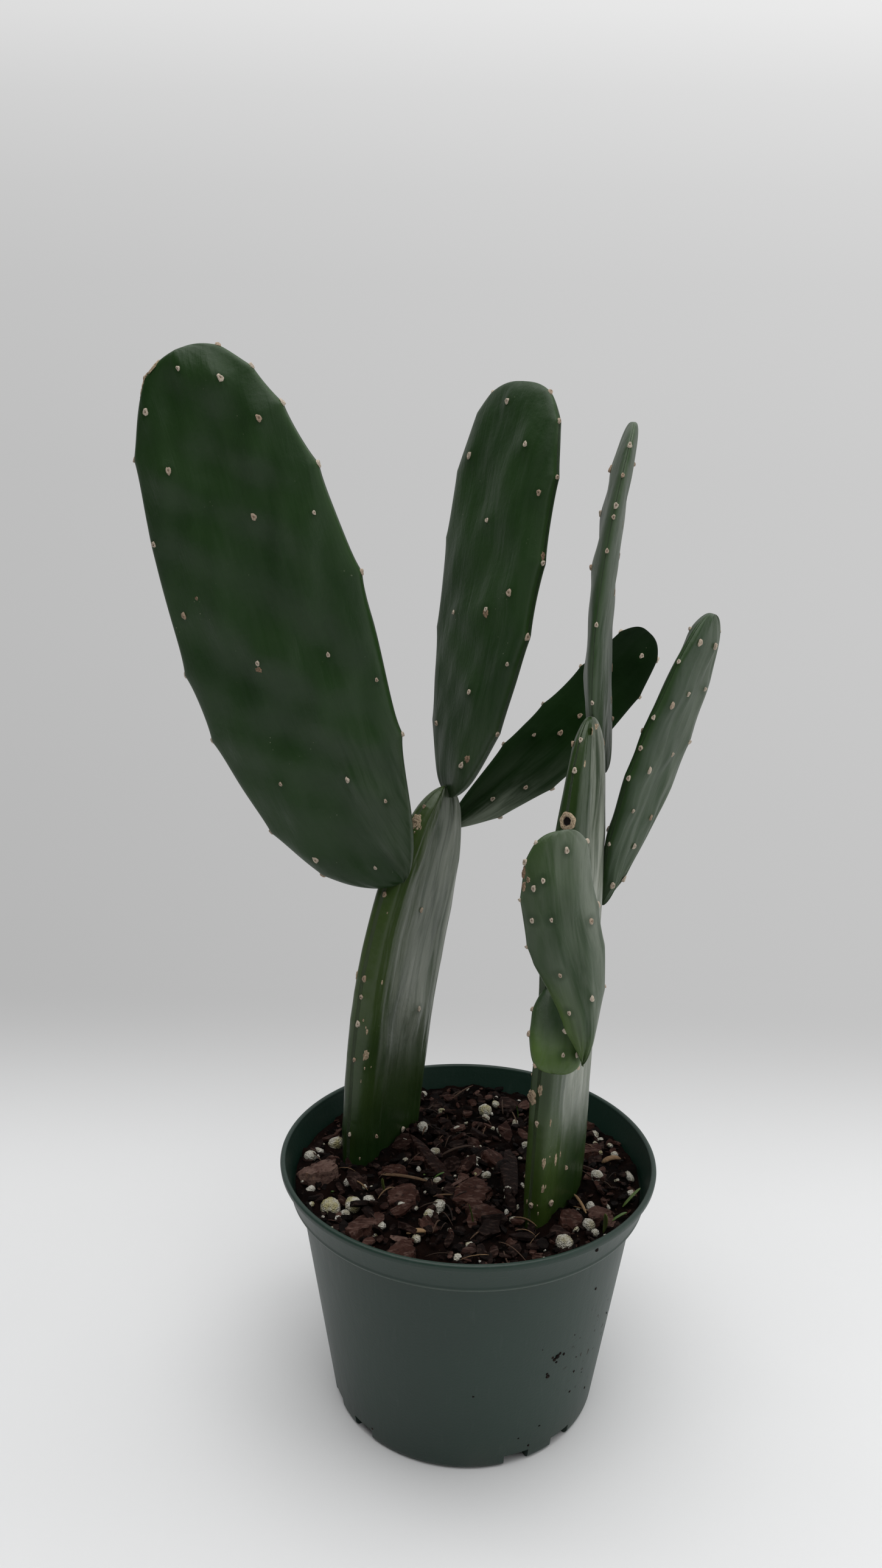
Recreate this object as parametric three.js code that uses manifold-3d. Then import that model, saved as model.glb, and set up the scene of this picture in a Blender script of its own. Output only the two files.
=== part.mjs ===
// Potted paddle cactus: two rooted stems with seven paddles, in a round nursery pot.
// Millimetres, +Z up. The origin is the centre of the pot's flat base.
import * as THREE from "three";
import { mergeVertices } from "three/addons/utils/BufferGeometryUtils.js";
import Module from "manifold-3d";

const wasm = await Module();
wasm.setup();

// ---------------------------------------------------------------- driving dimensions
const FIT_GAP = 0.3; // clearance between pieces that touch

const POT = {
  height: 112.7,
  lipRadius: 82.5,
  lipWidth: 2.4,
  lipDepth: 3.2,
  collarBottom: 97.6,
  collarRadius: 77.9,
  collarTopRadius: 80.7,
  ridgeHeight: 1.4,
  ridgeStep: 0.5,
  shoulderRadius: 74.0,
  baseRadius: 59.1,
  baseBevel: 1.6,
  wall: 1.6,
  segments: 48,
};

const SLOT = { pairs: 4, firstPair: -56, halfSpread: 11, width: 11, height: 5.5, reach: 5 };

const SOIL = { level: 102, ripple: 1.1, segments: 36, rings: [16, 32, 48, 62] };

// A stem or paddle runs from base to tip. heading is the compass direction of its width,
// in degrees from +X. widestAt is a fraction of the length, and the powers shape the two
// ends of the outline: 2 is an ellipse, more is squarer, 1 is pointed. outerPower is the
// base power of the side that heading points to. sway bends it in its own plane, wave
// bends it in an S, bow bends it out of its plane, and twist turns it between its ends.
const JOINTS = {
  left_stem: {
    base: [-40.5, 24.5, 62], tip: [-13.5, 25, 272], heading: 58.5, width: 53.5, thickness: 15,
    widestAt: 0.6, basePower: 5.8, tipPower: 1.9, sway: -4.2, bow: -7, twist: 9, section: 3.8,
  },
  left_big_paddle: {
    base: [-30, 5, 234], tip: [-115.5, -12, 444.5], heading: -8, width: 83, thickness: 14,
    widestAt: 0.48, basePower: 2.9, outerPower: 1.55, tipPower: 2.3, sway: -9.5, wave: -3, section: 2.9,
    parents: ["left_stem"],
  },
  left_middle_paddle: {
    base: [-12, 25, 267], tip: [15.5, 22, 439], heading: -51, width: 59.5, thickness: 11.5,
    widestAt: 0.6, basePower: 2, tipPower: 2.7, wave: 1.3, twist: -8, bow: -0.5, section: 3.2,
    parents: ["left_stem"],
  },
  left_rear_paddle: {
    base: [-13, 39, 249], tip: [78.5, 75, 335.5], heading: 2, width: 31, thickness: 11,
    widestAt: 0.46, basePower: 1.5, tipPower: 2.9, sway: 5.6, bow: -1,
    parents: ["left_stem", "left_middle_paddle"],
  },
  right_stem: {
    base: [36.5, -20, 62], tip: [43.5, -20, 311], heading: 64, width: 46, thickness: 12.5,
    widestAt: 0.5, basePower: 5, tipPower: 2.4, sway: -1, bow: -0.5, twist: -8, section: 3.4,
  },
  right_top_paddle: {
    base: [52, 1, 284.5], tip: [56.5, 0, 422], heading: 80.5, width: 50, thickness: 8.5,
    widestAt: 0.58, basePower: 2.3, tipPower: 2.4, bow: -6, twist: -14,
    parents: ["right_stem"],
  },
  right_side_paddle: {
    base: [53.5, 4, 227], tip: [92, 0, 350], heading: 57, width: 45, thickness: 9,
    widestAt: 0.46, basePower: 1.3, tipPower: 2.7, twist: -5, bow: 0.5, section: 2.8,
    parents: ["right_stem"],
  },
  right_low_paddle: {
    base: [35, -36, 208], tip: [32, -58, 179.5], heading: 10, width: 21.5, thickness: 9,
    widestAt: 0.5, basePower: 2.2, tipPower: 3, sway: 0.5,
    parents: ["right_stem"],
  },
  right_front_paddle: {
    base: [42.5, -59, 184], tip: [29.6, -70, 278.5], heading: 14, width: 29.5, thickness: 9.5,
    widestAt: 0.47, basePower: 1.15, tipPower: 2.9, wave: 2, cup: 2.5,
    parents: ["right_low_paddle", "right_stem"],
  },
};
const JOINT_ROWS = 24;
const JOINT_SIDES = 14;

// The larger loose pieces lie half sunk in the mix. at is the centre's x and y, size is
// length, width and height, and heading is the direction of the length in degrees.
const CHIPS = {
  roughness: 0.22,
  sunk: 0.5,
  pieces: [
    { at: [-65, -9], size: [18, 12, 9], heading: 8 },
    { at: [-16, 5], size: [38, 7, 6], heading: -53 },
    { at: [2, -19], size: [18, 14, 7], heading: 15 },
    { at: [8, -34], size: [18, 10, 6], heading: -20 },
    { at: [-27, -25], size: [16, 13, 7], heading: 25 },
    { at: [-41, -44], size: [23, 11, 7], heading: 55 },
    { at: [-25, -60], size: [13, 10, 6], heading: 60 },
    { at: [18.5, -4], size: [40, 8, 6], heading: 90 },
    { at: [42.5, -38], size: [12, 9, 7], heading: 75 },
    { at: [55.5, -30], size: [11, 9, 6], heading: 20 },
    { at: [56.5, 18], size: [12, 9, 6], heading: 40 },
    { at: [-32, -4], size: [11, 9, 6], heading: -20 },
  ],
};
const GRAINS = {
  squash: 0.9,
  roughness: 0.2,
  sunk: 0.35,
  pieces: [
    { at: [-57, -32], radius: 4.4 },
    { at: [-47.8, -29.5], radius: 3.6 },
    { at: [-71, 5], radius: 2.8 },
    { at: [-61, 17.5], radius: 3.2 },
    { at: [-21.7, 31.9], radius: 2.8 },
    { at: [8, 53], radius: 3.2 },
    { at: [39.5, -51.5], radius: 3.6 },
    { at: [50.3, -39], radius: 2.8 },
    { at: [57, -5], radius: 3 },
    { at: [-11.5, -29], radius: 2.9 },
  ],
};

// ---------------------------------------------------------------- colours
const paddleGreen = { color: 0x2f4a2c, roughness: 0.4, metalness: 0 };
const stemGreen = { color: 0x56693f, roughness: 0.45, metalness: 0 };
const potGreen = { color: 0x1f3a30, roughness: 0.45, metalness: 0 };
const soilBrown = { color: 0x2a1c15, roughness: 0.95, metalness: 0 };
const barkBrown = { color: 0x5a3a2e, roughness: 0.9, metalness: 0 };
const perliteWhite = { color: 0xd9d6c8, roughness: 0.9, metalness: 0 };

// ---------------------------------------------------------------- solids
// A closed geometry with its shared vertices merged becomes a manifold solid.
function solid(geometry) {
  const bare = geometry.clone();
  bare.deleteAttribute("normal");
  bare.deleteAttribute("uv");
  const merged = mergeVertices(bare, 1e-4);
  const index = merged.index.array;
  const faces = [];
  for (let i = 0; i < index.length; i += 3) {
    const [a, b, c] = [index[i], index[i + 1], index[i + 2]];
    if (a !== b && b !== c && c !== a) faces.push(a, b, c);
  }
  return new wasm.Manifold(new wasm.Mesh({
    numProp: 3,
    vertProperties: new Float32Array(merged.attributes.position.array),
    triVerts: new Uint32Array(faces),
  }));
}

function largestPiece(body) {
  const pieces = body.decompose();
  return pieces.reduce((best, piece) => (piece.volume() > best.volume() ? piece : best));
}

function mesh(name, body, finish) {
  const { vertProperties, triVerts } = body.getMesh();
  const geometry = new THREE.BufferGeometry();
  geometry.setAttribute("position", new THREE.BufferAttribute(vertProperties, 3));
  geometry.setIndex(new THREE.BufferAttribute(triVerts, 1));
  geometry.computeVertexNormals();
  const made = new THREE.Mesh(geometry, new THREE.MeshStandardMaterial(finish));
  made.name = name;
  return made;
}

// Small repeatable random numbers, so that every run roughens the loose pieces alike.
function randomStream(seed) {
  let state = seed;
  return () => {
    state = (state + 0x6d2b79f5) | 0;
    let t = Math.imul(state ^ (state >>> 15), 1 | state);
    t = (t + Math.imul(t ^ (t >>> 7), 61 | t)) ^ t;
    return ((t ^ (t >>> 14)) >>> 0) / 4294967296;
  };
}

// ---------------------------------------------------------------- stems and paddles
// Superellipse |x|^power + |y|^power = 1 at an angle.
function roundedSection(angle, power) {
  const c = Math.cos(angle);
  const s = Math.sin(angle);
  const exponent = 2 / power;
  return [Math.sign(c) * Math.abs(c) ** exponent, Math.sign(s) * Math.abs(s) ** exponent];
}

// Half-width of the outline as a fraction of the greatest, at a fraction of the length.
function outline(t, widestAt, basePower, tipPower) {
  const fromWidest = t < widestAt ? (widestAt - t) / widestAt : (t - widestAt) / (1 - widestAt);
  const power = t < widestAt ? basePower : tipPower;
  return Math.max(1 - fromWidest ** power, 0) ** (1 / power);
}

// How full the thickness is at a fraction of the length: even, then rounded off at the ends.
function fullness(t, widestAt) {
  const fromWidest = t < widestAt ? (widestAt - t) / widestAt : (t - widestAt) / (1 - widestAt);
  return Math.sqrt(Math.max(1 - fromWidest ** 4, 0));
}

function jointGeometry(joint, grow = 0) {
  const { heading, widestAt, basePower, tipPower } = joint;
  const { outerPower = basePower, sway = 0, wave = 0, bow = 0, twist = 0, cup = 0, section = 2.6 } = joint;
  const tip = new THREE.Vector3(...joint.tip);
  const base = new THREE.Vector3(...joint.base);
  const along = tip.clone().sub(base).normalize();
  tip.addScaledVector(along, grow);
  base.addScaledVector(along, -grow);
  const compass = THREE.MathUtils.degToRad(heading);
  const across = new THREE.Vector3(Math.cos(compass), Math.sin(compass), 0);
  across.addScaledVector(along, -across.dot(along)).normalize();
  const out = across.clone().cross(along);
  const halfWidth = joint.width / 2 + grow;
  const halfThickness = joint.thickness / 2 + grow;

  function centre(t) {
    const arch = 4 * t * (1 - t);
    return base.clone().lerp(tip, t)
      .addScaledVector(across, sway * arch + wave * Math.sin(2 * Math.PI * t))
      .addScaledVector(out, bow * arch);
  }

  const points = [base.clone()];
  for (let row = 1; row < JOINT_ROWS; row++) {
    const t = (1 - Math.cos((Math.PI * row) / JOINT_ROWS)) / 2;
    const middle = centre(t);
    const turn = THREE.MathUtils.degToRad(twist) * (t - 0.5);
    const wide = across.clone().applyAxisAngle(along, -turn);
    const deep = out.clone().applyAxisAngle(along, -turn);
    for (let side = 0; side < JOINT_SIDES; side++) {
      const [x, y] = roundedSection((2 * Math.PI * side) / JOINT_SIDES, section);
      const power = x > 0 ? outerPower : basePower;
      const reach = x * halfWidth * outline(t, widestAt, power, tipPower);
      const rise = y * halfThickness * fullness(t, widestAt) - cup * x * x * Math.sin(Math.PI * t);
      points.push(middle.clone().addScaledVector(wide, reach).addScaledVector(deep, rise));
    }
  }
  points.push(tip.clone());

  const last = points.length - 1;
  const at = (row, side) => 1 + (row - 1) * JOINT_SIDES + (side % JOINT_SIDES);
  const faces = [];
  for (let side = 0; side < JOINT_SIDES; side++) {
    faces.push(0, at(1, side), at(1, side + 1));
    for (let row = 1; row < JOINT_ROWS - 1; row++) {
      const [a, b] = [at(row, side), at(row, side + 1)];
      const [c, d] = [at(row + 1, side), at(row + 1, side + 1)];
      faces.push(a, c, b, b, c, d);
    }
    faces.push(last, at(JOINT_ROWS - 1, side + 1), at(JOINT_ROWS - 1, side));
  }
  const geometry = new THREE.BufferGeometry();
  geometry.setAttribute("position", new THREE.Float32BufferAttribute(points.flatMap((p) => p.toArray()), 3));
  geometry.setIndex(faces);
  return geometry;
}

// A paddle is cut back to where its parents' surfaces end, so that it sits on them.
function jointSolid(joint) {
  let body = solid(jointGeometry(joint));
  for (const parent of joint.parents ?? []) {
    body = body.subtract(solid(jointGeometry(JOINTS[parent], FIT_GAP)));
  }
  return largestPiece(body);
}

// ---------------------------------------------------------------- pot
const innerCollar = POT.collarRadius - POT.wall;
const innerShoulder = POT.shoulderRadius - POT.wall;
const innerBase = POT.baseRadius - POT.wall;
const collarInnerBottom = POT.collarBottom - 2 * POT.wall;
const lipInner = POT.lipRadius - POT.lipWidth;

// Half a turn of the lip's rounded top, from its outer side to its inner side.
function lipArc(steps) {
  const radius = POT.lipWidth / 2;
  const points = [];
  for (let i = 0; i <= steps; i++) {
    const angle = (Math.PI * i) / steps;
    points.push([POT.lipRadius - radius + radius * Math.cos(angle), POT.height - radius + radius * Math.sin(angle)]);
  }
  return points;
}

function potSolid() {
  const lipUnder = POT.height - POT.lipDepth;
  const ridgeTop = POT.collarBottom + POT.ridgeHeight;
  const profile = [
    [0, 0],
    [POT.baseRadius - POT.baseBevel, 0],
    [POT.baseRadius, POT.baseBevel],
    [POT.shoulderRadius, POT.collarBottom],
    [POT.collarRadius + POT.ridgeStep, POT.collarBottom],
    [POT.collarRadius + POT.ridgeStep, ridgeTop],
    [POT.collarRadius, ridgeTop + POT.ridgeStep],
    [POT.collarTopRadius, lipUnder],
    [POT.lipRadius - 0.2, lipUnder + 0.5],
    ...lipArc(6),
    [lipInner - 0.6, lipUnder],
    [innerCollar, POT.collarBottom],
    [innerShoulder, collarInnerBottom],
    [innerBase, 2 * POT.wall],
    [innerBase - POT.wall, POT.wall],
    [0, POT.wall],
  ].map(([r, z]) => new THREE.Vector2(r, z));
  // A lathe turns about Y, so its axis is stood up along Z.
  const lathe = new THREE.LatheGeometry(profile, POT.segments).rotateX(Math.PI / 2);
  let body = solid(lathe);
  for (let pair = 0; pair < SLOT.pairs; pair++) {
    for (const side of [-1, 1]) {
      const angle = THREE.MathUtils.degToRad(SLOT.firstPair + (360 / SLOT.pairs) * pair + side * SLOT.halfSpread);
      const cutter = new THREE.BoxGeometry(2 * SLOT.reach, SLOT.width, 2 * SLOT.height)
        .translate(POT.baseRadius, 0, 0)
        .rotateZ(angle);
      body = body.subtract(solid(cutter));
    }
  }
  return largestPiece(body);
}

// ---------------------------------------------------------------- potting mix
// Gentle unevenness of the surface, in millimetres.
function ripple(x, y) {
  return SOIL.ripple * (Math.sin(x / 9 + 1.3) * Math.cos(y / 11) + 0.5 * Math.sin((x + y) / 6));
}

function soilSolid() {
  const wallAt = (z) => innerShoulder + ((innerCollar - innerShoulder) * (z - collarInnerBottom)) / (POT.collarBottom - collarInnerBottom);
  const edge = innerCollar - FIT_GAP + 0.2;
  const profile = [
    [0, POT.wall + FIT_GAP],
    [innerBase - POT.wall - FIT_GAP, POT.wall + FIT_GAP],
    [innerBase - FIT_GAP, 2 * POT.wall + FIT_GAP],
    [wallAt(collarInnerBottom) - FIT_GAP, collarInnerBottom],
    [innerCollar - FIT_GAP, POT.collarBottom + FIT_GAP],
    [edge, SOIL.level - 0.5],
    ...SOIL.rings.toReversed().map((r) => [r, SOIL.level]),
    [0, SOIL.level],
  ].map(([r, z]) => new THREE.Vector2(r, z));
  const lathe = new THREE.LatheGeometry(profile, SOIL.segments).rotateX(Math.PI / 2);
  const position = lathe.attributes.position;
  for (let i = 0; i < position.count; i++) {
    if (position.getZ(i) >= SOIL.level - 0.6) {
      position.setZ(i, position.getZ(i) + ripple(position.getX(i), position.getY(i)));
    }
  }
  return solid(lathe);
}

// ---------------------------------------------------------------- bark chips and perlite
// A rough lump: a ball whose points are pushed in and out, then stretched and turned.
function lump(random, halfSize, roughness, grow) {
  const ball = new THREE.IcosahedronGeometry(1, 1);
  ball.deleteAttribute("normal");
  ball.deleteAttribute("uv");
  const rough = mergeVertices(ball, 1e-4);
  const position = rough.attributes.position;
  for (let i = 0; i < position.count; i++) {
    const push = 1 - roughness * random();
    position.setXYZ(i, position.getX(i) * push, position.getY(i) * push, position.getZ(i) * push);
  }
  return rough.scale(...halfSize.map((half) => half + grow));
}

// Each loose piece comes with the slightly larger lump that hollows its seat in the mix.
function loosePiece(name, finish, { at, size, heading = 0 }, { roughness, sunk }, seed) {
  const [x, y] = at;
  const halfSize = size.map((side) => side / 2);
  const z = SOIL.level + ripple(x, y) + halfSize[2] * (1 - 2 * sunk);
  const yaw = THREE.MathUtils.degToRad(heading);
  const [body, seat] = [0, FIT_GAP].map((grow) =>
    solid(lump(randomStream(seed), halfSize, roughness, grow).rotateZ(yaw).translate(x, y, z)));
  return { name, finish, body, seat };
}

function loosePieces() {
  const label = (index) => String(index + 1).padStart(2, "0");
  const chips = CHIPS.pieces.map((piece, i) =>
    loosePiece(`bark_chip_${label(i)}`, barkBrown, piece, CHIPS, 100 + i));
  const grains = GRAINS.pieces.map(({ at, radius }, i) => {
    const size = [2 * radius, 2 * radius, 2 * radius * GRAINS.squash];
    return loosePiece(`perlite_${label(i)}`, perliteWhite, { at, size }, GRAINS, 200 + i);
  });
  return [...chips, ...grains];
}

// ---------------------------------------------------------------- assembly
const plant = new THREE.Group();

plant.add(mesh("pot", potSolid(), potGreen));

const loose = loosePieces();
let mix = soilSolid();
for (const stem of ["left_stem", "right_stem"]) {
  mix = mix.subtract(solid(jointGeometry(JOINTS[stem], FIT_GAP)));
}
for (const piece of loose) {
  mix = mix.subtract(piece.seat);
}
plant.add(mesh("potting_mix", largestPiece(mix), soilBrown));

for (const [name, joint] of Object.entries(JOINTS)) {
  plant.add(mesh(name, jointSolid(joint), name.endsWith("stem") ? stemGreen : paddleGreen));
}
for (const piece of loose) {
  plant.add(mesh(piece.name, piece.body, piece.finish));
}

export default plant;
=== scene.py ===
# %% [markdown]
# # A potted paddle cactus, one surface at a time
#
# Two flat stems stand in a dark green nursery pot and carry seven paddles. Each lesson below
# takes one piece or one finish: what it is on the plant, how it could be made in Blender, and
# why this way was chosen. Every shape is a formula on a grid of numbers, worked out with numpy
# as whole arrays, and every finish is worked out by shader nodes, so no image is painted or
# loaded; some light and shade is painted into the colours, where the lessons say so. The
# imported CAD model is the frame: it fixes where everything stands.

# %% Load the frame
import math

import bpy
import numpy as np
from mathutils import Matrix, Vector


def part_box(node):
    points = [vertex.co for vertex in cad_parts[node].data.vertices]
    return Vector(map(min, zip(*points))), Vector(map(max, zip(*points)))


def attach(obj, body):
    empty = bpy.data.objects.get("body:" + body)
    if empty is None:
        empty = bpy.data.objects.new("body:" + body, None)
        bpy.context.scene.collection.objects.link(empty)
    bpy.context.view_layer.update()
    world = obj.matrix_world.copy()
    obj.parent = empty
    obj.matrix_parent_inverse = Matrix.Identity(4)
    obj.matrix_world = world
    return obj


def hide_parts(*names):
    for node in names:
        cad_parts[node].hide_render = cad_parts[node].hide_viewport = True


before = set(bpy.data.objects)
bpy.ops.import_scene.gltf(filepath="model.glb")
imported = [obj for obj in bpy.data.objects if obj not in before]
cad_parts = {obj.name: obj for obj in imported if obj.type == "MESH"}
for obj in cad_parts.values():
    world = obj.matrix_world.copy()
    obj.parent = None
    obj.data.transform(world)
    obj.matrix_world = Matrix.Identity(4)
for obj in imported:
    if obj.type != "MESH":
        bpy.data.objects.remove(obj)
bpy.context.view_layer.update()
MM = 0.001

# %% [markdown]
# ## The camera
#
# A phone's main lens looks slightly down on the plant from about half a metre. A 26 mm lens on
# a 36 mm tall sensor gives the same angle of view. The camera is turned in three steps: stood
# up from Blender's straight-down rest, turned a little left, and rolled by a degree.

# %% Camera
CAMERA_PLACE = (0.0, -0.45503, 0.38121)
CAMERA_PITCH, CAMERA_TURN, CAMERA_ROLL = 12.731, 1.846, 0.976

camera_data = bpy.data.cameras.new("camera")
camera_data.sensor_fit = "VERTICAL"
camera_data.sensor_height = 36.0
camera_data.lens = 25.993
camera = bpy.data.objects.new("camera", camera_data)
camera.matrix_world = (
    Matrix.Translation(CAMERA_PLACE)
    @ Matrix.Rotation(math.radians(CAMERA_TURN), 4, "Z")
    @ Matrix.Rotation(math.radians(90 - CAMERA_PITCH), 4, "X")
    @ Matrix.Rotation(math.radians(CAMERA_ROLL), 4, "Z")
)
bpy.context.scene.collection.objects.link(camera)
bpy.context.scene.camera = camera
bpy.context.scene.view_settings.view_transform = "Standard"
print("camera", camera_data.lens, "mm lens at", CAMERA_PLACE)

# %% [markdown]
# ## Soft studio light
#
# The plant stands on a pale seamless sweep. Large area lights are the studio's soft boxes: the
# main one overhead, a weaker one above and in front, one level at the right, and a faint one
# low at the near right. The wide faces that look right catch a pale sheen, partly from these
# lights and partly painted into the skin's wax colour, and the faces that look at the camera
# stay deep green, because the room behind the camera is dark.

# %% Lights
ROOM_LIGHT = (0.03, 0.03, 0.03)


def soft_box(name, place, target, size, power):
    """An area light at place that faces target; size is its width and height in metres."""
    data = bpy.data.lights.new(name, "AREA")
    data.shape = "RECTANGLE"
    data.size, data.size_y = size
    data.energy = power
    lamp = bpy.data.objects.new(name, data)
    aim = np.array(target) - np.array(place)
    forward = aim / np.linalg.norm(aim)
    side = np.cross(forward, (0, 0, 1) if abs(forward[2]) < 0.99 else (0, 1, 0))
    side /= np.linalg.norm(side)
    up = np.cross(side, forward)
    turn = Matrix([[side[i], up[i], -forward[i]] for i in range(3)]).to_4x4()
    lamp.matrix_world = Matrix.Translation(place) @ turn
    bpy.context.scene.collection.objects.link(lamp)


soft_box("overhead_box", (0.0, -0.15, 1.35), (0, -0.15, 0), (1.6, 1.0), 15.5)
soft_box("front_top_box", (0.0, -0.95, 1.3), (0, -0.35, 0), (1.5, 0.5), 3.6)
soft_box("right_box", (0.95, -0.1, 0.42), (0, -0.1, 0.3), (0.8, 0.8), 2.6)
soft_box("near_right_box", (0.75, -0.85, 0.3), (0, -0.05, 0.2), (0.8, 0.6), 1.4)

world = bpy.data.worlds.new("studio_air")
world.use_nodes = True
world.node_tree.nodes["Background"].inputs["Color"].default_value = (*ROOM_LIGHT, 1)
bpy.context.scene.world = world

# %% [markdown]
# ## Arrays into meshes
#
# Blender can build a mesh face by face, but a long Python loop is slow and hard to read. Here
# one function takes a whole array of points and whole arrays of faces and hands them over in
# one go. It also takes numbers that belong to each point, which the materials read later, and
# it turns the faces round if the closed shape comes out with a negative volume.

# %% A mesh from arrays
def signed_volume(points, faces):
    """Six times the volume under each face fan, added up: positive when faces point outwards."""
    total = 0.0
    for block in faces:
        a = points[block[:, 0]]
        for k in range(1, block.shape[1] - 1):
            b, c = points[block[:, k]], points[block[:, k + 1]]
            total += np.einsum("ij,ij->", a, np.cross(b, c))
    return total / 6


def put_mesh(name, points, faces, marks=None, uv=None, sharp_angle=None):
    """One object at the origin from arrays: points (n, 3) in metres, blocks of faces with equal
    corner counts, float marks per point, and an optional UV pair per point."""
    points = np.asarray(points, float)
    faces = [np.asarray(block, int) for block in faces if len(block)]
    if signed_volume(points, faces) < 0:
        faces = [block[:, ::-1] for block in faces]
    corners = np.concatenate([block.ravel() for block in faces])
    counts = np.concatenate([np.full(len(block), block.shape[1]) for block in faces])
    mesh = bpy.data.meshes.new(name)
    mesh.vertices.add(len(points))
    mesh.vertices.foreach_set("co", points.ravel())
    mesh.loops.add(len(corners))
    mesh.loops.foreach_set("vertex_index", corners)
    mesh.polygons.add(len(counts))
    mesh.polygons.foreach_set("loop_start", np.concatenate([[0], np.cumsum(counts)[:-1]]))
    mesh.polygons.foreach_set("use_smooth", np.ones(len(counts), bool))
    if uv is not None:
        layer = mesh.uv_layers.new(name="SkinUV")
        layer.data.foreach_set("uv", np.asarray(uv, float)[corners].ravel())
    for mark, values in (marks or {}).items():
        attribute = mesh.attributes.new(mark, "FLOAT", "POINT")
        attribute.data.foreach_set("value", np.asarray(values, float).ravel())
    mesh.update(calc_edges=True)
    mesh.validate()
    if sharp_angle is not None:
        mesh.set_sharp_from_angle(angle=math.radians(sharp_angle))
    made = bpy.data.objects.new(name, mesh)
    bpy.context.scene.collection.objects.link(made)
    return made


print("mesh maker ready")

# %% [markdown]
# ## Faces between rings
#
# Nearly every piece here is a stack of rings: a paddle's sections, the pot's turned profile, the
# layers of a bark chip. Modifiers such as Screw and Skin could join them, but they hide where a
# point comes from. Two short rules are enough: quads between neighbouring rings, and a fan of
# triangles that closes an end.

# %% Faces of tubes and ends
def tube_faces(rows, sides):
    """Quads between neighbouring rings of a tube whose rings close on themselves."""
    row, side = np.meshgrid(np.arange(rows - 1), np.arange(sides), indexing="ij")
    here, there = row * sides + side, row * sides + (side + 1) % sides
    return np.stack([here, there, there + sides, here + sides], -1).reshape(-1, 4)


def pole_faces(pole, first, sides, flip):
    """A fan of triangles from one point to a ring that starts at index first."""
    side = np.arange(sides)
    fan = np.stack([np.full(sides, pole), first + side, first + (side + 1) % sides], -1)
    return fan[:, ::-1] if flip else fan


def stack_faces(rings, sides):
    """Quads and triangles of a stack of rings whose two end points come after the rings."""
    foot = pole_faces(rings * sides, 0, sides, True)
    head = pole_faces(rings * sides + 1, (rings - 1) * sides, sides, False)
    return [tube_faces(rings, sides), np.concatenate([foot, head])]


print("a tube of 3 rings with 4 sides:", len(tube_faces(3, 4)), "quads")

# %% [markdown]
# ## What every piece needs
#
# Besides its mesh a piece needs a material, the body it belongs to, and the names of the CAD
# pieces it stands for. Nothing on this plant moves, so there is one body, the root, and one
# function can finish every piece.

# %% Finish a piece
def finish_piece(made, material, slot, *nodes):
    """Gives a piece its material and its body, and hides the CAD nodes it stands for; slot is not used."""
    made.data.materials.append(material)
    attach(made, "root")
    if nodes:
        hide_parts(*nodes)
    print(f"{made.name}: {len(made.data.polygons)} faces")
    return made


print("piece finisher ready")

# %% [markdown]
# ## Shader maths as plain expressions
#
# A material's pattern is arithmetic on numbers that change over the surface. Wiring Math nodes
# by hand hides that arithmetic, so a small class stands for a socket and adds the node for each
# operator: `1 - mask` and `0.3 * streak + 0.1` then mean what they say.

# %% A socket that can be added, multiplied and divided
class Signal:
    """A socket of one material; every operator adds the Math node that does it."""

    def __init__(self, finish, socket):
        self.finish = finish
        self.socket = socket

    def math(self, operation, first, second=None, clamp=False):
        """Adds one Math node; first and second are sockets or numbers."""
        inputs = {0: first} if second is None else {0: first, 1: second}
        settings = {"operation": operation, "use_clamp": clamp}
        return self.finish.node("ShaderNodeMath", settings, inputs)

    def __add__(self, other):
        return self.math("ADD", self, other)

    def __radd__(self, other):
        return self.math("ADD", other, self)

    def __sub__(self, other):
        return self.math("SUBTRACT", self, other)

    def __rsub__(self, other):
        return self.math("SUBTRACT", other, self)

    def __mul__(self, other):
        return self.math("MULTIPLY", self, other)

    def __rmul__(self, other):
        return self.math("MULTIPLY", other, self)

    def __truediv__(self, other):
        return self.math("DIVIDE", self, other)

    def __rtruediv__(self, other):
        return self.math("DIVIDE", other, self)

    def clamp(self):
        """The same value, held between 0 and 1."""
        return self.math("ADD", self, 0.0, clamp=True)

    def over(self, low, high):
        """0 below low, 1 above high, and a smooth rise between."""
        settings = {"interpolation_type": "SMOOTHSTEP"}
        return self.finish.node("ShaderNodeMapRange", settings, {0: self, 1: low, 2: high})


print("socket maths ready")

# %% [markdown]
# ## One method for every node
#
# Noise, ramps and bumps differ only in their settings and inputs, so one method makes any of
# them. Settings come first, because some of them decide which inputs a node has, then the
# inputs, each a plain value or a link. Short names follow for the nodes that this plant's
# finishes use most, and one method feeds the shader at the end.

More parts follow.
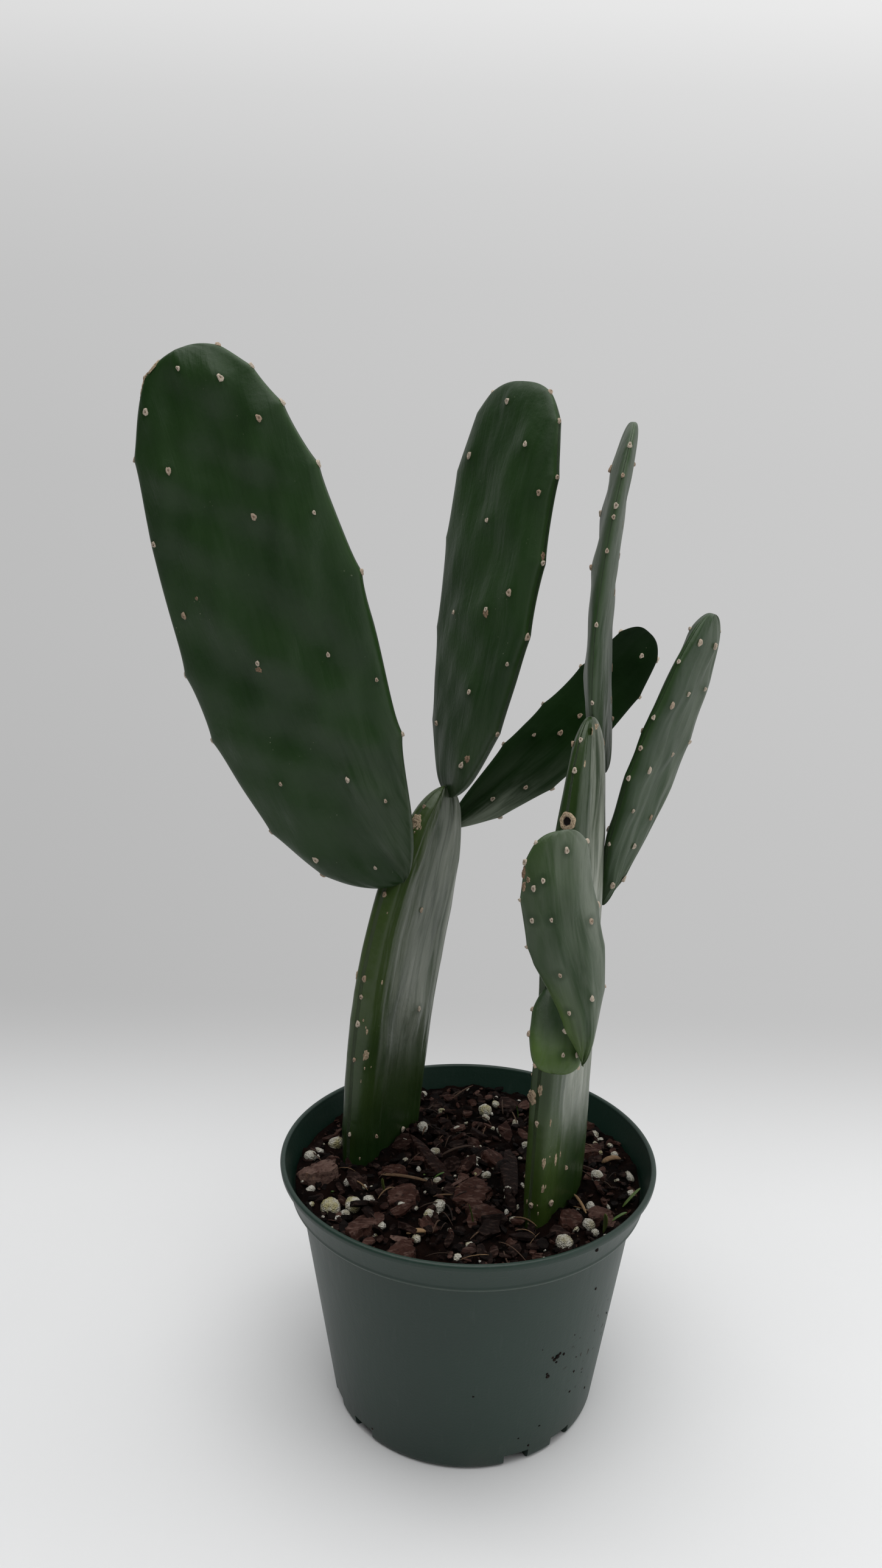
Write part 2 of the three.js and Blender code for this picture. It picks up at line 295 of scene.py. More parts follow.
# %% A finish and its nodes
class Finish:
    """One material: its node tree, and short ways to add nodes to it."""

    def __init__(self, name, **constants):
        self.material = bpy.data.materials.new(name)
        self.material.use_nodes = True
        self.tree = self.material.node_tree
        self.shader = self.tree.nodes["Principled BSDF"]
        for socket, value in constants.items():
            self.shader.inputs[socket.replace("_", " ")].default_value = value

    def node(self, kind, settings=None, inputs=None, out=0):
        """Adds a node of one kind: settings first, then values or links of its sockets."""
        made = self.tree.nodes.new(kind)
        for key, value in (settings or {}).items():
            if key == "stops":
                ramp = made.color_ramp
                while len(ramp.elements) < len(value):
                    ramp.elements.new(0.5)
                for element, (place, colour) in zip(ramp.elements, value):
                    element.position = place
                    element.color = (*colour, 1.0)
            else:
                setattr(made, key, value)
        for key, value in (inputs or {}).items():
            self.feed(made.inputs[key], value)
        return Signal(self, made.outputs[out])

    def feed(self, socket, value):
        """Links a Signal to a socket, or sets the socket to a plain value."""
        if isinstance(value, Signal):
            self.tree.links.new(value.socket, socket)
        elif isinstance(value, tuple) and socket.type == "RGBA":
            socket.default_value = (*value, 1.0)
        else:
            socket.default_value = value

    def mark(self, name):
        """The number that a mesh keeps at each point under this name."""
        return self.node("ShaderNodeAttribute", {"attribute_name": name}, out="Fac")

    def place(self):
        """The place in the object's own space, in metres."""
        return self.node("ShaderNodeTexCoord", out="Object")

    def chart(self):
        """The place on a skin's own chart, in metres across and along it."""
        return self.node("ShaderNodeUVMap", {"uv_map": "SkinUV"})

    def stretch(self, vector, scale, shift=(0, 0, 0)):
        inputs = {"Vector": vector, "Scale": scale, "Location": shift}
        return self.node("ShaderNodeMapping", None, inputs)

    def noise(self, vector, scale, detail=2.0, roughness=0.5, warp=0.0):
        inputs = {"Vector": vector, "Scale": scale, "Detail": detail}
        inputs |= {"Roughness": roughness, "Distortion": warp}
        return self.node("ShaderNodeTexNoise", None, inputs)

    def cells(self, vector, scale):
        """The distance to the nearest of many points strewn through space."""
        return self.node("ShaderNodeTexVoronoi", None, {"Vector": vector, "Scale": scale})

    def ramp(self, stops, value):
        """A colour read from a row of stops, each a place and a colour."""
        return self.node("ShaderNodeValToRGB", {"stops": stops}, {0: value})

    def split(self, vector, axis):
        """One part of a vector, by the name of its axis."""
        return self.node("ShaderNodeSeparateXYZ", None, {0: vector}, out=axis)

    def mix(self, share, first, second, kind="MIX"):
        settings = {"data_type": "RGBA", "blend_type": kind}
        return self.node("ShaderNodeMix", settings, {0: share, 6: first, 7: second}, out=2)

    def wear(self, colour=None, roughness=None, height=None, depth=0.001, more=None):
        """Feeds the shader: colour, roughness, and a height that bumps the surface."""
        for socket, value in {"Base Color": colour, "Roughness": roughness, **(more or {})}.items():
            if value is not None:
                self.feed(self.shader.inputs[socket], value)
        if height is not None:
            bump = self.node("ShaderNodeBump", None, {"Height": height, "Distance": depth, "Strength": 1.0})
            self.feed(self.shader.inputs["Normal"], bump)
        return self.material


print("shader helpers ready")

# %% [markdown]
# ## Floor and sweep
#
# A studio sweep is one sheet of pale card: flat under the plant, and curved up several metres
# behind it, so no line shows where floor meets wall and nothing stands near the plant. It is a
# profile, floor then quarter circle then wall, carried sideways along a straight path.

# %% Sweep card
SWEEP_FRONT, SWEEP_START, SWEEP_RADIUS, SWEEP_TOP, SWEEP_HALF_WIDTH = -2.5, 3.0, 0.6, 8.0, 10.0


def sweep_points():
    """Profile (y, z): a straight floor, a quarter turn of radius r about (start, r), a wall."""
    turn = np.linspace(0, math.pi / 2, 24)
    wall = SWEEP_START + SWEEP_RADIUS
    y = np.concatenate([[SWEEP_FRONT], SWEEP_START + SWEEP_RADIUS * np.sin(turn), [wall]])
    z = np.concatenate([[0.0], SWEEP_RADIUS * (1 - np.cos(turn)), [SWEEP_TOP]])
    left = np.stack([np.full_like(y, -SWEEP_HALF_WIDTH), y, z], -1)
    return np.stack([left, left * (-1, 1, 1)])


sweep_grid = sweep_points()
columns = sweep_grid.shape[1]
step = np.arange(columns - 1)
sweep_faces = np.stack([step, columns + step, columns + step + 1, step + 1], -1)
sweep = put_mesh("sweep", sweep_grid.reshape(-1, 3), [sweep_faces])
print("sweep, m:", [round(v, 2) for v in sweep.dimensions])

# %% [markdown]
# ## A card that is lit near the plant and glows far from it
#
# Close behind the pot the light of the soft boxes ends. In a studio the far card has lamps of
# its own; lamps for all of it would cost much render time, so its tone there is painted light, a
# glow, which falls from the top of the wall towards the floor and is brighter towards the right.
# The glow depends on slope: how far a place is above a level, over how far back it is. A slope
# runs evenly over floor and wall alike, so it shows no line where the card bends.

# %% Pale card
GLOW_FROM, GLOW_FULL = 0.12, 0.43
SLOPE_BACK, SLOPE_LEVEL = 0.455, 0.381  # the point that slopes are measured from, m
WIDEST_LEAN, NEAREST = 0.5, 0.5
GLOW = [
    (0.1, 0.492), (0.25, 0.505), (0.4, 0.525), (0.55, 0.54),
    (0.7, 0.573), (0.77, 0.61), (0.84, 0.67), (0.9, 0.755),
]

card = Finish("pale_card", Roughness=0.9, Specular_IOR_Level=0.0, Emission_Strength=1.0)
tone = card.noise(card.place(), 3.0, detail=3.0)
across, away, height = (card.split(card.place(), axis) for axis in "XYZ")
glow_share = away.over(GLOW_FROM, GLOW_FULL)
distance = away.math("MAXIMUM", away + SLOPE_BACK, NEAREST)
slope = (height - SLOPE_LEVEL) / distance
# painted light: the far card's glow, brighter towards the top of the wall
glow_tone = card.ramp([(u, (v, v, v)) for u, v in GLOW], slope + 0.5)
lean = across / distance
lean = lean.math("MAXIMUM", lean.math("MINIMUM", lean, WIDEST_LEAN), -WIDEST_LEAN)
# painted light: the glow is made brighter towards the right and darker towards the left
glow = card.mix(1.0, card.mix(glow_share, (0, 0, 0), glow_tone), 1.04 + 0.2 * lean, "MULTIPLY")
pale = card.mix(tone, (0.79, 0.795, 0.8), (0.82, 0.823, 0.826))
lit_card = card.mix(glow_share, pale, (0.0, 0.0, 0.0))
sweep.data.materials.append(card.wear(lit_card, more={"Emission Color": glow}))
print("card nodes:", len(card.tree.nodes))

# %% [markdown]
# ## The room past the card
#
# Past the card is the room. It gives almost no light, so that the plant's dark greens keep their
# depth, but a black room would hide the plant's outline from the sides. A Light Path node tells
# the two uses of the world apart: light gets the dim tone, and the camera sees a plain grey.

# %% Room
ROOM_SEEN = (0.42, 0.425, 0.43)


class Surround(Finish):
    """The world in place of a material, with the same short ways to add nodes."""

    def __init__(self, world):
        self.tree = world.node_tree
        self.shader = self.tree.nodes["Background"]


air = Surround(world)
seen = air.node("ShaderNodeLightPath", out="Is Camera Ray")
air.feed(air.shader.inputs["Color"], air.mix(seen, ROOM_LIGHT, ROOM_SEEN))
print("room: lights with", ROOM_LIGHT, "and is seen as", ROOM_SEEN)

# %% [markdown]
# ## One formula for every stem and paddle
#
# A paddle is a stem segment that grew flat. Its outline is a half-width that swells from the
# base to a widest place and closes round the tip, and its section is a rounded rectangle. Both
# are superellipses, the family |x|^p + |y|^p = 1 that runs from diamond through circle to
# square. A centre line with a little sway, wave and bow carries the section, so one function
# makes all nine, each from its own few dimensions.

# %% Dimensions of the stems and paddles, mm and degrees
# base and tip: ends of the centre line. heading: compass way of the width, from X.
# widest_at: share of the length where the outline is widest. base_power, tip_power: how square
# the outline is on either side of it; outer_power: the base side's power on the far margin.
# sway and wave: one bend and one S across. bow: one bend out of the face. twist: base to tip.
# cup: how far both margins fall back, far_cup: the same for the far margin alone.
# section: power of the section. folds: depth everywhere and near the base; fold_waves: how many.
# dents: depth of the swells and hollows.
# wax: pale wax bloom with painted sheen at the near and far margins;
# wax_and_sheen_from, wax_and_sheen_until: where along it starts and ends; band: how near the
# near margin it comes; foot_wax_and_sheen: extra at the foot. young: yellow green by
# the near margin, at the tip and at the foot; painted shade at the rear paddle's tip.
JOINTS = {
    # painted sheen: on both stems the pale share starts some way up and stops short of the near margin,
    # where the sheen of the light at the right ends
    "left_stem": dict(
        base=(-40.5, 24.5, 62), tip=(-13.5, 25, 272), heading=58.5, width=53.5, thickness=15,
        widest_at=0.6, base_power=5.8, tip_power=1.9, sway=-4.2, bow=-7, twist=9,
        section=4.6, folds=(0.55, 0.0), fold_waves=17, dents=0.3,
        wax=(0.5, 0.68), wax_and_sheen_from=0.4, band=-0.68, young=(1.0, 0, 0),
    ),
    "left_big_paddle": dict(
        base=(-30, 5, 234), tip=(-115.5, -12, 444.5), heading=-8, width=83, thickness=14,
        widest_at=0.48, base_power=2.9, outer_power=1.55, tip_power=2.3, sway=-9.5, wave=-3,
        section=2.9, folds=(0.07, 0.2), fold_waves=8, dents=1.25,
        wax=(0.02, 0.05), foot_wax_and_sheen=0.3,
    ),
    "left_middle_paddle": dict(
        base=(-12, 25, 267), tip=(15.5, 22, 439), heading=-51, width=59.5, thickness=11.5,
        widest_at=0.6, base_power=2, tip_power=2.7, wave=1.3, twist=-8, bow=-0.5,
        section=3.2, folds=(0.05, 0.08), fold_waves=8, dents=0.5,
        wax=(0.03, 0.06), foot_wax_and_sheen=0.2,
    ),
    # painted shade: the young share here darkens the tip, on a skin that is painted darker
    "left_rear_paddle": dict(
        base=(-13, 39, 249), tip=(78.5, 75, 335.5), heading=2, width=31, thickness=11,
        widest_at=0.46, base_power=1.5, tip_power=2.9, sway=5.6, bow=-1,
        section=2.6, folds=(0.14, 0.2), fold_waves=7, dents=0.4,
        wax=(0.0, 0.3), wax_and_sheen_until=0.45, foot_wax_and_sheen=0.9, young=(0, 1.0, 0),
    ),
    "right_stem": dict(
        base=(36.5, -20, 62), tip=(43.5, -20, 311), heading=64, width=46, thickness=12.5,
        widest_at=0.5, base_power=5, tip_power=2.4, sway=-1, bow=-0.5, twist=-8,
        section=4.2, folds=(0.36, 0.0), fold_waves=14, dents=0.3,
        wax=(0.8, 1.1), wax_and_sheen_from=0.32, band=-0.45, young=(0.3, 0, 1.0),
    ),
    "right_top_paddle": dict(
        base=(52, 1, 284.5), tip=(56.5, 0, 422), heading=80.5, width=50, thickness=8.5,
        widest_at=0.58, base_power=2.3, tip_power=2.4, bow=-6, twist=-14,
        section=2.6, folds=(0.2, 0.2), fold_waves=7,
        wax=(0.35, 0.35), foot_wax_and_sheen=0.2,
    ),
    "right_side_paddle": dict(
        base=(53.5, 4, 227), tip=(92, 0, 350), heading=57, width=45, thickness=9,
        widest_at=0.46, base_power=1.3, tip_power=2.7, twist=-5, bow=0.5,
        section=2.8, folds=(0.5, 0.2), fold_waves=9,
        wax=(0.1, 0.6), foot_wax_and_sheen=0.2,
    ),
    "right_low_paddle": dict(
        base=(35, -36, 208), tip=(32, -58, 179.5), heading=10, width=21.5, thickness=9,
        widest_at=0.5, base_power=2.2, tip_power=3, sway=0.5,
        section=2.6, folds=(0.1, 0.1), fold_waves=8,
        wax=(0.2, 0.3), young=(0.3, 1.0, 0),
    ),
    # painted sheen: the high pale share on the far side stands for the sheen of the light at the right
    "right_front_paddle": dict(
        base=(42.5, -59, 184), tip=(29.6, -70, 278.5), heading=14, width=29.5, thickness=9.5,
        widest_at=0.47, base_power=1.15, tip_power=2.9, wave=2, cup=2.0, far_cup=7.5, dents=0.9,
        section=2.6, folds=(0.18, 0.35), fold_waves=8,
        wax=(0.2, 0.95), young=(0.1, 0.15, 1.0),
    ),
}
print(len(JOINTS), "stems and paddles")

# %% [markdown]
# ## Areoles
#
# Spines and new growth come from areoles: small felted cushions, each on a low swelling of the
# skin. They stand in slanting rows on the two faces, and along both margins, where they draw
# the edge out into blunt teeth. Places are given in each paddle's own measure: how far along
# it, 0 to 1, and how far across, -1 to 1. A face without places of its own gets slanting rows
# by a rule.

# %% Areoles listed one by one
# front is the face towards out = across x along; the margins give places along only. swell is
# how high the skin rises under an areole on a face, tooth how far one draws the margin out, mm.
AREOLES = {
    "left_stem": dict(
        front=[(0.24, -0.62), (0.21, 0.25), (0.5, 0.3), (0.74, -0.2)],
        near=[0.16, 0.25, 0.42, 0.5, 0.56, 0.6, 0.78, 0.96],
        swell=0.5, tooth=0.6,
    ),
    "left_big_paddle": dict(
        front=[(0.97, 0.0), (0.93, 0.62), (0.93, -0.78), (0.85, 0.75), (0.83, -0.5), (0.71, 0.25),
               (0.68, 0.84), (0.73, -0.93), (0.6, -0.8), (0.48, -0.18), (0.45, 0.5), (0.38, 0.92),
               (0.26, -0.5), (0.23, 0.25), (0.17, 0.66), (0.1, -0.78), (0.05, -0.18)],
        far=[0.98, 0.93, 0.86, 0.75, 0.56, 0.27], near=[0.98, 0.87, 0.5, 0.37, 0.17, 0.06],
        swell=0.8, tooth=2.1,
    ),
    "left_middle_paddle": dict(
        front=[(0.95, -0.18), (0.86, 0.54), (0.82, -0.7), (0.76, 0.88), (0.68, 0.0), (0.53, 0.7),
               (0.48, 0.3), (0.45, -0.45), (0.37, 0.93), (0.28, 0.3), (0.17, -0.66), (0.1, 0.6)],
        far=[0.98, 0.92, 0.8, 0.61, 0.44, 0.2], near=[0.97, 0.92, 0.78, 0.62, 0.4, 0.17],
        swell=0.8, tooth=1.8,
    ),
    "left_rear_paddle": dict(
        front=[(0.91, 0.3), (0.6, 0.0), (0.51, -0.05), (0.44, -0.54), (0.29, 0.54), (0.18, 0.18)],
        far=[0.95, 0.81, 0.55, 0.36, 0.16], near=[0.93, 0.74, 0.55, 0.35],
        swell=0.7, tooth=1.3,
    ),
    "right_stem": dict(
        front=[(0.2, -0.75), (0.24, -0.2)],
        near=[0.12, 0.2, 0.35, 0.6, 0.925, 0.97],
        swell=0.5, tooth=0.7,
    ),
    "right_top_paddle": dict(
        front=[(0.89, 0.3), (0.72, -0.3), (0.63, 0.5), (0.53, 0.0), (0.31, 0.18), (0.21, 0.45),
               (0.15, 0.66)],
        back=[(0.87, -0.2), (0.75, 0.4), (0.6, -0.4), (0.45, 0.3), (0.3, -0.3)],
        near=[0.93, 0.85, 0.77, 0.74, 0.65, 0.45, 0.23], far=[0.9, 0.7, 0.5, 0.3],
        swell=0.6, tooth=0.9,
    ),
    "right_side_paddle": dict(
        front=[(0.91, -0.8), (0.91, 0.0), (0.75, -0.35), (0.77, 0.42), (0.71, -0.86), (0.55, 0.0),
               (0.59, 0.63), (0.5, -0.76), (0.36, -0.8), (0.33, 0.18), (0.23, -0.1), (0.09, -0.73),
               (0.1, 0.7)],
        near=[0.84, 0.66, 0.56, 0.46, 0.23], far=[0.95, 0.8, 0.62, 0.42, 0.25],
        swell=0.9, tooth=1.5,
    ),
    "right_low_paddle": dict(
        back=[(0.48, 0.35), (0.56, 0.85), (0.82, 0.18), (0.79, 0.72)],
        near=[0.35, 0.62, 0.94], far=[0.3, 0.9], swell=0.6, tooth=1.1,
    ),
    "right_front_paddle": dict(
        front=[(0.93, 0.18), (0.84, -0.59), (0.81, -0.8), (0.68, -0.41), (0.68, -0.85), (0.62, 0.63),
               (0.44, -0.5), (0.32, 0.24), (0.27, -0.63)],
        near=[0.97, 0.9, 0.75, 0.55, 0.16], far=[0.93, 0.64, 0.29], swell=0.6, tooth=1.2,
    ),
}
print("placed by hand on the faces:", sum(len(s.get("front", [])) for s in AREOLES.values()))

# %% [markdown]
# ## Areoles placed by rule
#
# A cactus sets its areoles on spirals, which on a flat face come out as slanting rows. Random
# places would crowd and leave bald patches, so a face or margin that has no places of its own
# gets the plant's order: rows one pitch apart, each stepped sideways from the last.

# %% Areoles in slanting rows
MARGIN_PITCH = 24.0
FIRST_ROW, ROW_SPAN = 0.1, 0.84  # where the rows on a face start and how far they run


def slanting_rows(joint, pitch=21.0, slant=0.12):
    """Places on a face by rule: rows one pitch apart along it, each stepped half a place
    sideways from the last and rising by slant towards one margin."""
    length = math.dist(joint["base"], joint["tip"])
    rows = max(int(length * ROW_SPAN / pitch), 1)
    places = []
    for row in range(rows):
        shift = 0.3 if row % 2 else -0.05
        for across in (-0.62 + shift, 0.05 + shift):
            along = FIRST_ROW + ROW_SPAN * (row + 0.5) / rows - slant * across
            places.append((min(max(along, 0.06), 0.96), across))
    return places


for name, sites in AREOLES.items():
    sites.setdefault("front", slanting_rows(JOINTS[name]))
    sites.setdefault("back", slanting_rows(JOINTS[name]))
    count = int(math.dist(JOINTS[name]["base"], JOINTS[name]["tip"]) / MARGIN_PITCH)
    even_margin = list(np.linspace(0.12, 0.95, max(count, 3)))
    sites.setdefault("far", even_margin)
    sites.setdefault("near", even_margin)
print("areoles:", sum(len(s[k]) for s in AREOLES.values() for k in ("front", "back", "near", "far")))

# %% [markdown]
# ## Outline and section
#
# Paddles could be modelled as boxes and smoothed, but nine different ones would then need nine
# models. A formula needs only each one's dimensions. The outline closes towards both ends by a
# superellipse, and the section is a rounded rectangle, plump with stored water.

# %% Outline, section and directions
BELL_POWER = 2.2


def closing(t, widest_at, power):
    """(1 - s^p)^(1/p), where s is the distance from the widest place as a share of its end."""
    s = np.where(t < widest_at, (widest_at - t) / widest_at, (t - widest_at) / (1 - widest_at))
    return np.clip(1 - np.clip(s, 0, 1) ** power, 0, 1) ** (1 / power)


def signed_power(value, exponent):
    return np.sign(value) * np.abs(value) ** exponent


def section_place(joint, angle):
    """The rounded section |x|^p + |y|^p = 1 at an angle: x is across, y is out of the face."""
    power = 2 / joint["section"]
    return signed_power(np.cos(angle), power), signed_power(np.sin(angle), power)


def joint_directions(joint):
    """Base, tip, and unit vectors along the joint, across its width and out of its face."""
    base, tip = np.array(joint["base"], float) * MM, np.array(joint["tip"], float) * MM
    along = (tip - base) / np.linalg.norm(tip - base)
    compass = math.radians(joint["heading"])
    across = np.array([math.cos(compass), math.sin(compass), 0.0])
    across -= across.dot(along) * along
    across /= np.linalg.norm(across)
    return base, tip, along, across, np.cross(across, along)


print("longest, mm:", round(max(math.dist(j["base"], j["tip"]) for j in JOINTS.values())))

# %% [markdown]
# ## Relief on the skin
#
# The skin is the formula above with relief laid on it. Folds are the soft lengthwise ridges of a
# plant that has shrunk and filled again: sines across the face whose phase wanders along it,
# strongest near the base. Dents are the shallow swells and hollows of living flesh. A sculpted
# mesh could have both, but waves with their own seed from each tip are never the same twice.

# %% Folds and dents
FOOT_FOLDS = 0.22  # share of the length over which the folds at the base die away


def fade_to_margins(x):
    return np.clip(1 - x**2, 0, 1) ** 0.5


def ridges(joint, t, x):
    """Lengthwise folds: three sines across the face. Each drifts sideways along the joint at
    its own rate, so that folds lean, meet and part, and all fade towards the margins."""
    seed = sum(joint["tip"])
    waves = joint["fold_waves"]
    wander = 1.1 * np.sin(3.1 * t + seed) + 0.6 * np.sin(8.3 * t + 2 * seed) + 0.3 * np.sin(19 * t + x)
    folds = np.sin(waves * (x - 0.45 * t) + wander)
    folds = folds + 0.6 * np.sin(1.9 * waves * (x + 0.1 * t) - 1.7 * wander + seed)
    folds = folds + 0.35 * np.sin(3.4 * waves * (x - 0.25 * t) + 3 * wander)
    everywhere, near_base = joint["folds"]
    strength = everywhere * (0.75 + 0.25 * np.sin(5 * t + seed))
    strength = strength + near_base * np.exp(-((t / FOOT_FOLDS) ** 2))
    return strength * MM * folds * fade_to_margins(x)


def dents(joint, t, x):
    """Shallow swells and hollows of living flesh: four plane waves over the face, 36 to 12 mm
    long, each with its own lean and bent a little by a slower wave."""
    bell = closing(t, joint["widest_at"], BELL_POWER)
    u, v = x * bell * joint["width"] / 2, t * math.dist(joint["base"], joint["tip"])
    seed = sum(joint["tip"])
    height = 0
    for k, (size, lean) in enumerate([(36, 0.4), (25, 2.3), (17, 1.0), (12, 2.7)]):
        wave = (u * math.cos(lean) + 0.7 * v * math.sin(lean)) * 2 * math.pi / size
        height = height + size / 36 * np.sin(wave + seed * (k + 1) + np.sin(v / 17 + k))
    return joint.get("dents", 0.4) * MM * height * fade_to_margins(x)


print("deepest folds, mm:", max(sum(joint["folds"]) for joint in JOINTS.values()))

# %% [markdown]
# ## Swellings and teeth
#
# An areole on a face sits on a low swelling, and one on a margin at the point of a blunt tooth.
# A bell curve round each place gives the swelling. A margin needs a sharper curve with a corner
# at the areole and a slack line between two of them, so a tooth falls off as e^(-gap).

# %% Bells and cusps
TOOTH_REACH = 7.0
SWELL_REACH, SWELL_SQUEEZE = 5.5, 0.9
MEAN_SWELL = 0.12  # what the bells add on average, taken off again to keep the thickness


def areole_bells(name, t, x, y, reach, squeeze=1.0):
    """For each areole on a face, e^(-(gap / reach)^2) on its own side of the section; gap and
    reach are in mm, and squeeze makes the bell wider across."""
    joint, sites = JOINTS[name], AREOLES[name]
    length = math.dist(joint["base"], joint["tip"])
    for side, face in ((1, "front"), (-1, "back")):
        for place, off in sites[face]:
            gap = np.hypot((t - place) * length, (x - off) * joint["width"] / 2 * squeeze)
            yield np.where(y * side > 0, np.exp(-((gap / reach) ** 2)), 0)


def cusps(places, t, length):
    """Blunt corners along a margin: e^(-gap / reach) at each place, less their average."""
    gaps = np.abs(t[..., None] - np.array(places)) * length / MM
    even = np.abs(np.linspace(0, 1, 200)[:, None] - np.array(places)) * length / MM
    return np.exp(-gaps / TOOTH_REACH).sum(-1) - np.exp(-even / TOOTH_REACH).sum(-1).mean()


print("teeth:", sum(len(sites[side]) for sites in AREOLES.values() for side in ("near", "far")))

# %% [markdown]
# ## Points on the skin
#
# One function turns a share along a joint and an angle round it into a point. It bends the
# centre line, turns the section for twist, sets its width and depth from the outline, adds the
# relief and cups the margins back. Everything that grows on the skin asks the same function
# where it is, so areoles and scars never float or sink.

# %% Skin points
def skin_points(name, t, angle, relief=True):
    """Points on a joint's skin at shares t of its length and angles round its section."""
    joint, sites = JOINTS[name], AREOLES[name]
    base, tip, _, across, out = joint_directions(joint)
    t, angle = np.broadcast_arrays(np.asarray(t, float), np.asarray(angle, float))
    arch = 4 * t * (1 - t)
    sideways = (joint.get("sway", 0) * arch + joint.get("wave", 0) * np.sin(2 * math.pi * t)) * MM
    centre = base + t[..., None] * (tip - base) + sideways[..., None] * across
    centre = centre + (joint.get("bow", 0) * MM * arch)[..., None] * out
    turn = np.radians(joint.get("twist", 0)) * (t - 0.5)
    wide = np.cos(turn)[..., None] * across + np.sin(turn)[..., None] * out
    deep = np.cos(turn)[..., None] * out - np.sin(turn)[..., None] * across

    x, y = section_place(joint, angle)
    base_power = np.where(x > 0, joint.get("outer_power", joint["base_power"]), joint["base_power"])
    power = np.where(t < joint["widest_at"], base_power, joint["tip_power"])
    reach = joint["width"] / 2 * MM * closing(t, joint["widest_at"], power)
    half_depth = joint["thickness"] / 2 * MM * closing(t, joint["widest_at"], 4.0) ** 2
    sideways, outwards = x * reach, y * half_depth
    if relief:
        length = np.linalg.norm(tip - base)
        teeth = np.where(x > 0, cusps(sites["far"], t, length), cusps(sites["near"], t, length))
        sideways = sideways + x * np.abs(x) ** 5 * sites["tooth"] * MM * teeth
        swelling = sum(areole_bells(name, t, x, y, SWELL_REACH, SWELL_SQUEEZE))
        lift = sites["swell"] * MM * (swelling - MEAN_SWELL) + ridges(joint, t, x) + dents(joint, t, x)
        outwards = outwards + signed_power(y, 0.5) * lift
    cup = np.where(x > 0, joint.get("far_cup", joint.get("cup", 0)), joint.get("cup", 0))
    outwards = outwards - cup * MM * x**2 * np.sin(math.pi * t)
    return centre + sideways[..., None] * wide + outwards[..., None] * deep


print("tallest tip, mm:", round(max(skin_points(name, 1.0, 0.0)[2] for name in JOINTS) / MM, 1))

# %% [markdown]
# ## Where the skin's finish changes
#
# The bloom of wax with its painted sheen, the yellow green of young skin, the painted shade at
# the rear paddle's tip and the painted shade round an areole all follow the plant's shape, not
# the surface's noise. They could be painted on, but each is a simple rule in along and across,
# so numpy works out a share for every point and the mesh keeps it as a mark.

# %% Shares of wax and sheen, youth and shade, and areole shade
def rise(value, low, high):
    """0 below low, 1 above high, and the smooth step 3s^2 - 2s^3 between."""
    share = np.clip((value - low) / (high - low), 0, 1)
    return share**2 * (3 - 2 * share)


def wax_and_sheen_share(joint, t, x):
    """How much pale wax and painted sheen there is, 0 to 1: it runs evenly from one margin's share
    to the other's, starts some way up a stem, stops short of a stem's near margin, and gathers at
    the far side of a paddle's foot."""
    near, far = joint["wax"]
    starts, ends = joint.get("wax_and_sheen_from", -1), joint.get("wax_and_sheen_until", 2)
    band = joint.get("band", -2)
    even = (near + (far - near) * (x + 1) / 2) * rise(t, starts - 0.1, starts + 0.14)
    even = even * (1 - rise(t, ends - 0.2, ends + 0.15))
    foot = joint.get("foot_wax_and_sheen", 0) * (1 - rise(t, 0.12, 0.36)) * rise(x, -0.1, 0.6)
    band = band + 0.07 * np.sin(9 * t + 2)
    return (even + foot) * rise(x, band - 0.05, band + 0.05)


def youth_and_shade_share(joint, t, x):
    """How far the green turns to the young colour, 0 to 1: along the near margin, at the tip, and by
    the near side of the foot. On the rear paddle that colour is darker: painted shade."""
    margin, tip, foot = joint.get("young", (0, 0, 0))
    by_margin = margin * rise(-x, 0.45, 0.8) * rise(t, 0.1, 0.75)
    by_foot = foot * ((1 - rise(t, 0.2, 0.5)) * rise(-x, 0.0, 0.9) + 0.7 * (1 - rise(t, 0.06, 0.2)))
    return np.clip(by_margin + tip * rise(t, 0.45, 0.95) + by_foot, 0, 1)


def nearness(name, t, x, y, reach):
    """1 on an areole, falling to 0 at a reach in mm, over the whole skin."""
    return np.maximum.reduce(list(areole_bells(name, t, x, y, reach)))


print("waxiest half way up:", [name for name, j in JOINTS.items() if wax_and_sheen_share(j, 0.5, 0.9) > 0.5])

# %% [markdown]
# ## The skin's mesh
#
# Rings are bunched towards both ends, where the outline turns quickly, and one point closes each
# end. The chart runs in metres across and along the skin, and the back's half of it is moved
# aside, so the two faces don't share their streaks.

# %% Mesh of one stem or paddle
ROWS, SIDES = 220, 128
AREOLE_SHADE_REACH = 3.2
BACK_SHIFT = 0.4


